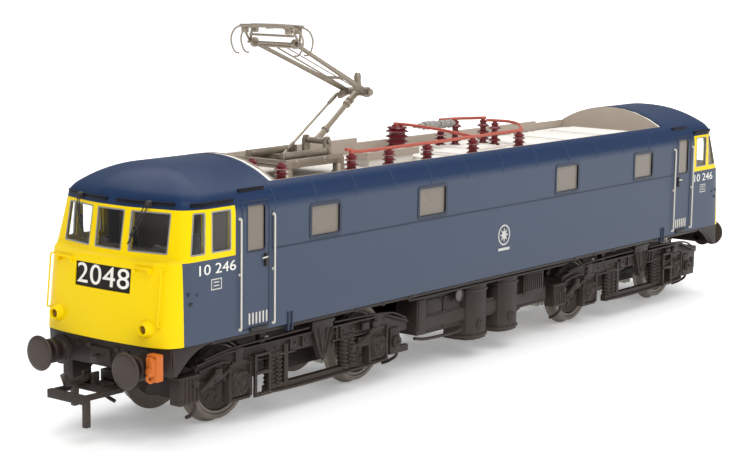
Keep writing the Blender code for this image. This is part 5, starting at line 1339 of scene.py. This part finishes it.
# ---------------------------------------------------------------- bogies
# Each bogie is one black moulding with deep pressed side frames. Round axlebox covers, coil springs,
# brake shoes and rods, sandboxes with pipes, steps and a V-shaped bracket stand proud of it.
bogie_black = finish("bogie_black", (0.019, 0.012, 0.0095), 0.48, mottle=0.35, patch=3.0, grain_mm=0.2,
                     bump=0.35, dust_top=15.0, dust_colour=(0.075, 0.055, 0.042), dust_amount=0.8,
                     worn_colour=(0.12, 0.092, 0.075), wear_mm=0.25, wear_amount=0.8)
for word, sign in (("a", -1), ("b", 1)):
    pivot = sign * PIVOT_X
    bits = [refined(f"bogie_frame_{word}", 0.14)]
    bolt_spots, spring_spots = [], []
    for side in (-1, 1):
        axis = toward("Y", side)

        def cube(name, x, y, z, bevel=0.1):
            bits.append(block(name, (pivot + x[0], pivot + x[1]), (side * y[0], side * y[1]), z, bevel))

        def lathe(name, profile, x, y, z, steps=32):
            bits.append(turned(name, profile, (pivot + x, side * y, z), axis, steps))

        def pipe(name, points, radius=0.3):
            bits.append(rod(name, eased([(pivot + x, side * y, z) for x, y, z in points], 5), radius))

        for x in (-HALF_WHEELBASE, HALF_WHEELBASE):
            cover = [(2.3, 0), (2.62, 0), (2.62, 0.35), (2.35, 0.5), (2.3, 0.95), (2.05, 1.12),
                     (1.75, 1.05), (1.6, 0.82), (1.0, 0.8), (0.85, 1.2), (0.45, 1.3), (0, 1.3)]
            lathe("axlebox_cover", cover + [(0, -0.2), (2.3, -0.2), (2.3, 0)], x, 14.85, AXLE_Z, 44)
            for number in range(6):
                a = math.radians(60 * number + 30)
                place = (pivot + x + 1.9 * math.cos(a), side * 16.0, AXLE_Z + 1.9 * math.sin(a))
                bolt_spots.append((place, (0, side, 0)))
            for edge in (-1, 1):
                cube("horn_guide", (x + edge * 2.9 - 0.35, x + edge * 2.9 + 0.35), (13.4, 15.4),
                     (5.7, 12.6), 0.12)
                cube("horn_gusset", (x + edge * 3.6 - 0.4, x + edge * 3.6 + 0.4), (13.5, 14.8), (9.6, 12.8),
                     0.15)
                cube("brake_shoe", (x + edge * 7.3 - 0.5, x + edge * 7.3 + 0.5), (7.6, 9.4), (6.4, 11.0),
                     0.25)
                pipe("brake_hanger", [(x + edge * 7.3, 9.6, 8.6), (x + edge * 7.2, 10.6, 11.6),
                                      (x + edge * 6.6, 13.4, 13.6)], 0.35)
            cube("keep_plate", (x - 3.1, x + 3.1), (13.4, 15.1), (5.2, 5.8), 0.1)
            cube("top_pad", (x - 2.2, x + 2.2), (13.4, 15.2), (12.3, 13.0), 0.12)
            cube("beam_clamp", (x - 1.1, x + 1.1), (14.4, 15.1), (12.9, 15.5), 0.15)
            pipe("guide_link", [(x - 3.2, 15.4, 12.0), (x - 6.0, 15.3, 10.6), (x - 8.2, 14.9, 9.9)], 0.42)
            cube("link_boss", (x - 8.8, x - 7.6), (13.6, 15.4), (9.2, 10.6), 0.2)
        for x in (-12.0, -9.8, 10.8, 13.0):
            spring_spots.append(((pivot + x, side * 14.25, 6.4), (0, 0, 1)))
            for z in (6.15, 12.55):
                bits.append(turned("spring_seat", [(1.12, 0.25), (1.25, 0), (1.12, -0.25), (0, -0.25),
                                                   (0, 0.25), (1.12, 0.25)], (pivot + x, side * 14.25, z),
                                                   "+Z", 24))
        for low, high in (((-25.0, 15.15), (24.0, 15.15)), ((-24.0, 12.3), (-5.0, 12.3)),
                          ((6.5, 12.3), (24.0, 12.3))):
            cube("beam_flange", (low[0], high[0]), (13.9, 15.05), (low[1] - 0.28, low[1] + 0.12), 0.08)
        pipe("end_flange", [(-25.0, 14.75, 15.1), (-33.0, 14.75, 13.8)], 0.3)
        pipe("end_flange", [(24.0, 14.75, 15.1), (32.0, 14.75, 12.6)], 0.3)
        for x in np.arange(-22.5, 23.5, 3.0):
            if not -1.0 < x < 7.4:
                bolt_spots.append(((pivot + x, side * 14.52, 13.7), (0, side, 0)))
        for number in range(5):
            cube("sandbox_rib", (-38.0 + number * 1.05, -37.7 + number * 1.05), (15.5, 15.85), (7.5, 12.0),
                 0.06)
        cube("sandbox_lid", (-38.5, -33.2), (12.8, 15.8), (12.2, 12.6), 0.15)
        lathe("sand_filler", [(0, 0.6), (0.75, 0.55), (0.85, 0.2), (0.85, 0), (0, 0)], -34.4, 15.6, 11.0,
              20)
        pipe("sand_pipe", [(-33.6, 14.2, 7.6), (-32.2, 13.6, 5.6), (-31.0, 11.4, 3.6), (-30.4, 9.6, 2.7)],
             0.38)
        pipe("sand_pipe", [(29.0, 14.2, 6.8), (30.2, 13.2, 5.0), (30.6, 10.8, 3.4), (30.2, 9.4, 2.8)], 0.34)
        edge_pairs = (((0.2, 15.3), (2.5, 9.6)), ((6.2, 15.3), (3.9, 9.6)), ((1.9, 15.4), (2.95, 10.8)),
                      ((4.6, 15.4), (3.5, 10.8)))
        for (xa, za), (xb, zb) in edge_pairs:
            pipe("bracket_edge", [(xa, 15.3, za), ((xa + xb) / 2, 15.3, (za + zb) / 2), (xb, 15.3, zb)],
                 0.24)
        cube("bracket_top", (-0.3, 6.7), (14.2, 15.5), (16.5, 17.3), 0.12)
        cube("bracket_slot", (2.75, 3.75), (15.15, 15.35), (11.4, 14.8), 0.08)
        lathe("bracket_foot", [(0, 0.5), (0.7, 0.45), (0.9, 0.2), (0.9, 0), (0, 0)], 3.2, 15.1, 9.9, 20)
        lathe("brake_cylinder", [(0, 1.5), (1.1, 1.5), (1.35, 1.2), (1.35, -0.2), (0, -0.2)], 27.2, 14.6,
              8.9, 28)
        lathe("brake_pin", [(0, 2.0), (0.35, 2.0), (0.45, 1.2), (0, 1.2)], 27.2, 14.6, 8.9, 16)
        pipe("brake_rod", [(25.0, 14.9, 5.6), (18.0, 15.2, 5.3), (6.0, 15.2, 5.1), (-6.0, 15.2, 5.1),
                           (-13.0, 15.1, 5.3)], 0.28)
        pipe("air_pipe", [(-31.0, 14.9, 14.7), (-24.0, 15.1, 15.75), (-10.0, 15.0, 16.1),
                          (-1.0, 15.0, 16.2)], 0.24)
        pipe("air_pipe", [(7.0, 15.0, 16.1), (16.0, 15.0, 15.9), (26.0, 15.0, 15.2), (31.4, 14.8, 13.3)],
             0.24)
        cube("damper_bracket", (-28.6, -26.9), (14.0, 15.7), (10.6, 12.6), 0.15)
        pipe("damper", [(-27.8, 15.5, 12.0), (-30.4, 15.4, 10.2), (-32.6, 15.2, 8.9)], 0.5)
        pipe("arm", [(-32.5, 14.9, 12.6), (-27.0, 15.1, 13.5), (-24.6, 15.1, 13.2)], 0.3)
        cube("cable_box", (15.8, 18.0), (14.4, 15.5), (13.0, 14.6), 0.15)
        cube("earth_brush", (19.4, 21.0), (14.4, 15.4), (13.1, 14.4), 0.15)
        for x in (-6.4, -2.6, 8.0, 9.4):
            cube("frame_rib", (x - 0.2, x + 0.2), (14.3, 15.0), (12.5, 15.0), 0.06)
        ladder_x = -15.7 if sign < 0 else 15.7
        for z in (5.6, 9.9):
            for number in range(5):
                cube("tread_bar", (ladder_x - 1.7 + number * 0.8, ladder_x - 1.4 + number * 0.8),
                     (15.5, 16.3), (z + 0.2, z + 0.5), 0.05)
    bits.append(bolts("frame_bolts", bolt_spots, 0.26, 0.3, bogie_black))
    coils = generated("coil_springs", spring_spots, spring_tree, Coil_Radius=0.98 * MM,
                      Wire_Radius=0.24 * MM, Turns=7.0, Length=6.0 * MM, Material=bogie_black)
    assembled(f"bogie_moulding_{word}", bits, f"bogie_{word}", bogie_black, "black_plastic",
              f"bogie_frame_{word}")
    placed(coils, f"bogie_{word}", bogie_black, "black_plastic").name = f"bogie_springs_{word}"

# ---------------------------------------------------------------- wheelsets and gears
# Blackened metal wheels with a coned tread, flange, raised rim and dished disc, pressed on a steel axle
# that carries a nylon gear. Brass worms drive nylon worm wheels and idlers inside a black gear tower.
wheel_black = finish("wheel_blackened", (0.045, 0.033, 0.027), 0.45, metallic=0.3, mottle=0.3, patch=2.0,
                     grain_mm=0.25, bump=0.3, dust_top=17.0, dust_colour=(0.10, 0.08, 0.06),
                     dust_amount=0.6)
tyre_steel = finish("tyre_steel", (0.16, 0.135, 0.115), 0.3, metallic=0.8, mottle=0.3, patch=1.5,
                    grain_mm=0.15, bump=0.2)
axle_steel = finish("axle_steel", (0.35, 0.33, 0.31), 0.3, metallic=0.9, mottle=0.15, patch=1.5)
nylon = finish("gear_nylon", (0.60, 0.56, 0.47), 0.45, mottle=0.1, patch=1.5, grain_mm=0.2, bump=0.1)
brass = finish("worm_brass", (0.55, 0.38, 0.13), 0.28, metallic=0.9, mottle=0.15, patch=2.0, grain_mm=0.15,
               bump=0.1)
for word, sign in (("a", -1), ("b", 1)):
    for number, way in ((1, -1), (2, 1)):
        x = sign * PIVOT_X + way * HALF_WHEELBASE
        wheelset = f"wheelset_{word}{number}"
        discs, tyres = [], []
        for axis in ("+Y", "-Y"):
            disc = [(1.5, 7.3), (6.4, 7.35), (6.4, 9.35), (5.9, 9.3), (5.2, 8.95), (3.4, 8.85), (2.7, 9.1),
                    (2.5, 9.75), (1.6, 9.8), (1.4, 9.95), (0.72, 9.95), (0.72, 12.5)]
            disc += [(0.45, 12.6), (0, 12.6)]
            discs.append(turned("disc", [(0, 7.3)] + disc, (x, 0, AXLE_Z), axis, 56))
            tyre = [(6.2, 7.28), (8.62, 7.25), (8.86, 7.38), (8.9, 7.6), (8.72, 7.78), (8.35, 7.9),
                    (8.18, 8.12), (8.06, 9.7), (7.95, 9.84), (7.2, 9.85)]
            tyre += [(7.05, 9.7), (6.5, 9.68), (6.2, 9.4), (6.2, 7.28)]
            tyres.append(turned("tyre", tyre, (x, 0, AXLE_Z), axis, 72))
            for spot in range(12):
                a = math.radians(30 * spot)
                hole = (x + 4.4 * math.cos(a), AXLE_Z + 4.4 * math.sin(a))
                y = 8.86 if axis == "+Y" else -8.86
                discs.append(turned("disc_boss", [(0, 0.2), (0.5, 0.18), (0.62, 0), (0, 0)],
                                    (hole[0], y, hole[1]), axis, 14))
        assembled(f"wheel_discs_{word}{number}", discs, wheelset, wheel_black, "steel", wheelset)
        assembled(f"tyres_{word}{number}", tyres, wheelset, tyre_steel, "steel")
        gear = refined(wheelset, 0)
        bm = bmesh.new()
        bm.from_mesh(gear.data)
        axle = Vector((x, 0, AXLE_Z)) * MM
        gone = []
        for vert in bm.verts:
            from_axle = math.hypot(vert.co.x - axle.x, vert.co.z - axle.z)
            if abs(vert.co.y) > 1.05 * MM or from_axle < 1.4 * MM:
                gone.append(vert)
        bmesh.ops.delete(bm, geom=gone, context="VERTS")
        bmesh.ops.holes_fill(bm, edges=bm.edges, sides=0)
        bm.to_mesh(gear.data)
        bm.free()
        placed(gear, wheelset, nylon, "white_nylon").name = f"axle_gear_{word}{number}"
        placed(rod(f"axle_{word}{number}", [(x, -7.5, AXLE_Z), (x, 7.5, AXLE_Z)], 1.5, 7), wheelset,
               axle_steel, "steel")
        idler = f"idler_{word}{number}"
        dressed_part(f"idler_gear_{word}{number}", idler, idler, nylon, "white_nylon", 0.05, 1)
    dressed_part(f"worm_gear_{word}", f"worm_wheel_{word}", f"worm_wheel_{word}", nylon, "white_nylon",
                 0.05, 1)
    dressed_part(f"worm_and_cup_{word}", f"worm_{word}", f"worm_{word}", brass, "brass", 0.05, 1)
    tower = [refined(f"gear_tower_{word}", 0.15)]
    for x in (-6.5, 6.5):
        for y in (-4.45, 4.45):
            tower.append(block("clip", (sign * PIVOT_X + x - 1.0, sign * PIVOT_X + x + 1.0),
                               (y - 0.3, y + 0.3), (20.0, 23.4), 0.1))
    assembled(f"gear_housing_{word}", tower, f"bogie_{word}", bogie_black, "black_plastic",
              f"gear_tower_{word}")

# ---------------------------------------------------------------- couplings
# Tension-lock couplings in black: a broad front bar on two arms, a screw and an ear pin, carried by the
# bogie, and a steel hook that lifts on the pin.
hook_metal = finish("hook_blackened_steel", (0.05, 0.038, 0.032), 0.4, metallic=0.4, mottle=0.25, patch=1.2,
                    worn_colour=(0.2, 0.17, 0.14), wear_mm=0.2)
for word, sign in (("a", -1), ("b", 1)):
    bits = [refined(f"coupling_{word}", 0.16)]
    for x, y0, y1 in ((113.6, -4.1, 4.1), (109.0, -4.2, 4.2)):
        bits.append(rod("bar_stiffener", [(sign * x, y0, 9.3), (sign * x, y1, 9.3)], 0.3)
                    if x < 110 else block("bar_web", (sign * 114.3, sign * 114.9), (y0, y1), (9.2, 9.7),
                    0.1))
    bits.append(rod("coupling_screw", [(sign * 106.4, 0, 9.6), (sign * 106.4, 0, 10.4)], 0.9, 5))
    bits.append(rod("ear_pin", [(sign * 107.0, 0.7, 11.3), (sign * 107.0, 4.1, 11.3)], 0.42, 5))
    assembled(f"coupling_frame_{word}", bits, f"bogie_{word}", frame_black, "black_plastic",
              f"coupling_{word}")
    dressed_part(f"coupling_hook_bent_{word}", f"coupling_hook_{word}", f"hook_{word}", hook_metal, "steel",
                 0.16)

# ---------------------------------------------------------------- chassis, motor and circuit board
# A heavy die-cast floor with ballast blocks carries the can motor between its two flywheels; the green
# circuit board with its decoder, coils and screws sits on top of the ballast, all hidden by the body.
zinc = finish("die_cast_zinc", (0.10, 0.095, 0.09), 0.5, metallic=0.6, mottle=0.25, patch=4.0, grain_mm=0.3,
              bump=0.5, worn_colour=(0.4, 0.39, 0.37), wear_mm=0.25)
motor_steel = finish("motor_can_steel", (0.42, 0.41, 0.39), 0.3, metallic=0.9, mottle=0.15)
board_green = finish("board_green", (0.01, 0.10, 0.035), 0.35, mottle=0.2, patch=1.2, coat=0.4)
chip_black = finish("chip_black", (0.02, 0.02, 0.022), 0.45, mottle=0.1)
dressed_part("chassis_casting", "chassis_block", "locomotive", zinc, "die_cast_zinc", 0.25)
can = [refined("motor_can", 0.25)]
can += [turned("can_rib", [(6.2, 0.3), (6.75, 0.3), (6.75, -0.3), (6.2, -0.3), (6.2, 0.3)], (x, 0, MOTOR_Z),
               "+X", 48) for x in (-12.6, 12.6)]
assembled("motor_case", can, "locomotive", motor_steel, "steel", "motor_can")
for word, sign in (("a", -1), ("b", 1)):
    cap = [refined(f"motor_cap_{word}", 0.2)]
    for y in (-5.2, 5.2):
        cap.append(block("brush_spring", (sign * 15.5, sign * 16.1), (y - 0.7, y + 0.7), (18.6, 20.9),
                         0.12))
    assembled(f"motor_end_cap_{word}", cap, "locomotive", nylon, "white_nylon", f"motor_cap_{word}")
rotor = [refined("motor_rotor", 0.12)]
for x in (-28.6, -23.5, -18.4, 18.4, 23.5, 28.6):
    rotor.append(turned("flywheel_ring",
                        [(5.2, 0.35), (6.05, 0.35), (6.05, -0.35), (5.2, -0.35), (5.2, 0.35)],
                        (x, 0, MOTOR_Z), "+X", 56))
assembled("rotor_and_flywheels", rotor, "rotor", brass, "brass", "motor_rotor")
dressed_part("circuit_board_panel", "circuit_board", "locomotive", board_green, "circuit_board", 0.06, 1)
chips, solder_spots = [], []
for x, y, w, d, h in ((15, 0, 12, 9, 0.7), (-7, 0, 8, 9, 0.6), (-20, 5, 4, 3, 0.9), (-20, -6, 3, 4, 0.9),
                      (28, 6, 4, 4, 0.8), (38, -5, 5, 3, 0.8), (-36, 4, 5, 4, 0.7)):
    base_z = 34.55 if x == 15 else 34.95 if x == -7 else 32.5
    chips.append(block("chip", (x - w / 2, x + w / 2), (y - d / 2, y + d / 2), (base_z, base_z + h), 0.08))
    for number in range(4):
        solder_spots.append(((x - w / 2 - 0.7, y - d / 2 + 0.5 + number * (d - 1) / 3, 32.5), (0, 0, 1)))
assembled("circuit_chips", chips, "locomotive", chip_black, "circuit_board")
solder = bolts("solder_joints", solder_spots, 0.35, 0.5, motor_steel, 8)
placed(solder, "locomotive", motor_steel, "circuit_board")

# ---------------------------------------------------------------- body-side device and data plate
# A small cast device on the body side, here a plain eight-pointed star in a ring over a bar, and an
# outlined data plate under the number. Both are generic.
device_silver = finish("device_silver", (0.50, 0.49, 0.46), 0.35, metallic=0.5, mottle=0.2, patch=0.8)
marks = []
for side in (-1, 1):
    y = side * (HALF_WIDTH + 0.02)
    ring = [(0.65 + 2.35 * math.cos(a), 27.6 + 2.35 * math.sin(a))
            for a in np.linspace(0, 2 * math.pi, 40, endpoint=False)]
    hole = [(0.65 + 2.0 * math.cos(a), 27.6 + 2.0 * math.sin(a))
            for a in np.linspace(0, 2 * math.pi, 40, endpoint=False)]
    low, high = (y - side * 0.1, y + side * 0.08)
    marks.append(sheet_metal("ring", "XZ", [ring, hole], low, high))
    star = []
    for number in range(16):
        a = math.radians(22.5 * number + 90)
        reach = 1.75 if number % 2 == 0 else 0.75
        star.append((0.65 + reach * math.cos(a), 27.6 + reach * math.sin(a)))
    marks.append(sheet_metal("star", "XZ", [star], low, high))
    marks.append(sheet_metal("bar", "XZ", [rectangle((-1.6, 2.9), (24.1, 24.7))], low, high))
    for sign in (-1, 1):
        low, high = (y - side * 0.1, y + side * 0.03)
        plate = rectangle((sign * 92.5, sign * 95.4), (28.3, 30.4))
        inner = rectangle((sign * 92.72, sign * 95.18), (28.52, 30.18))
        marks.append(sheet_metal("plate_edge", "XZ", [plate, inner], low, high))
        for z in (28.95, 29.6):
            marks.append(sheet_metal("plate_line", "XZ",
                                     [rectangle((sign * 93.2, sign * 94.7), (z, z + 0.24))], low, high))
assembled("body_side_device", marks, "locomotive", device_silver, "blue_paint")
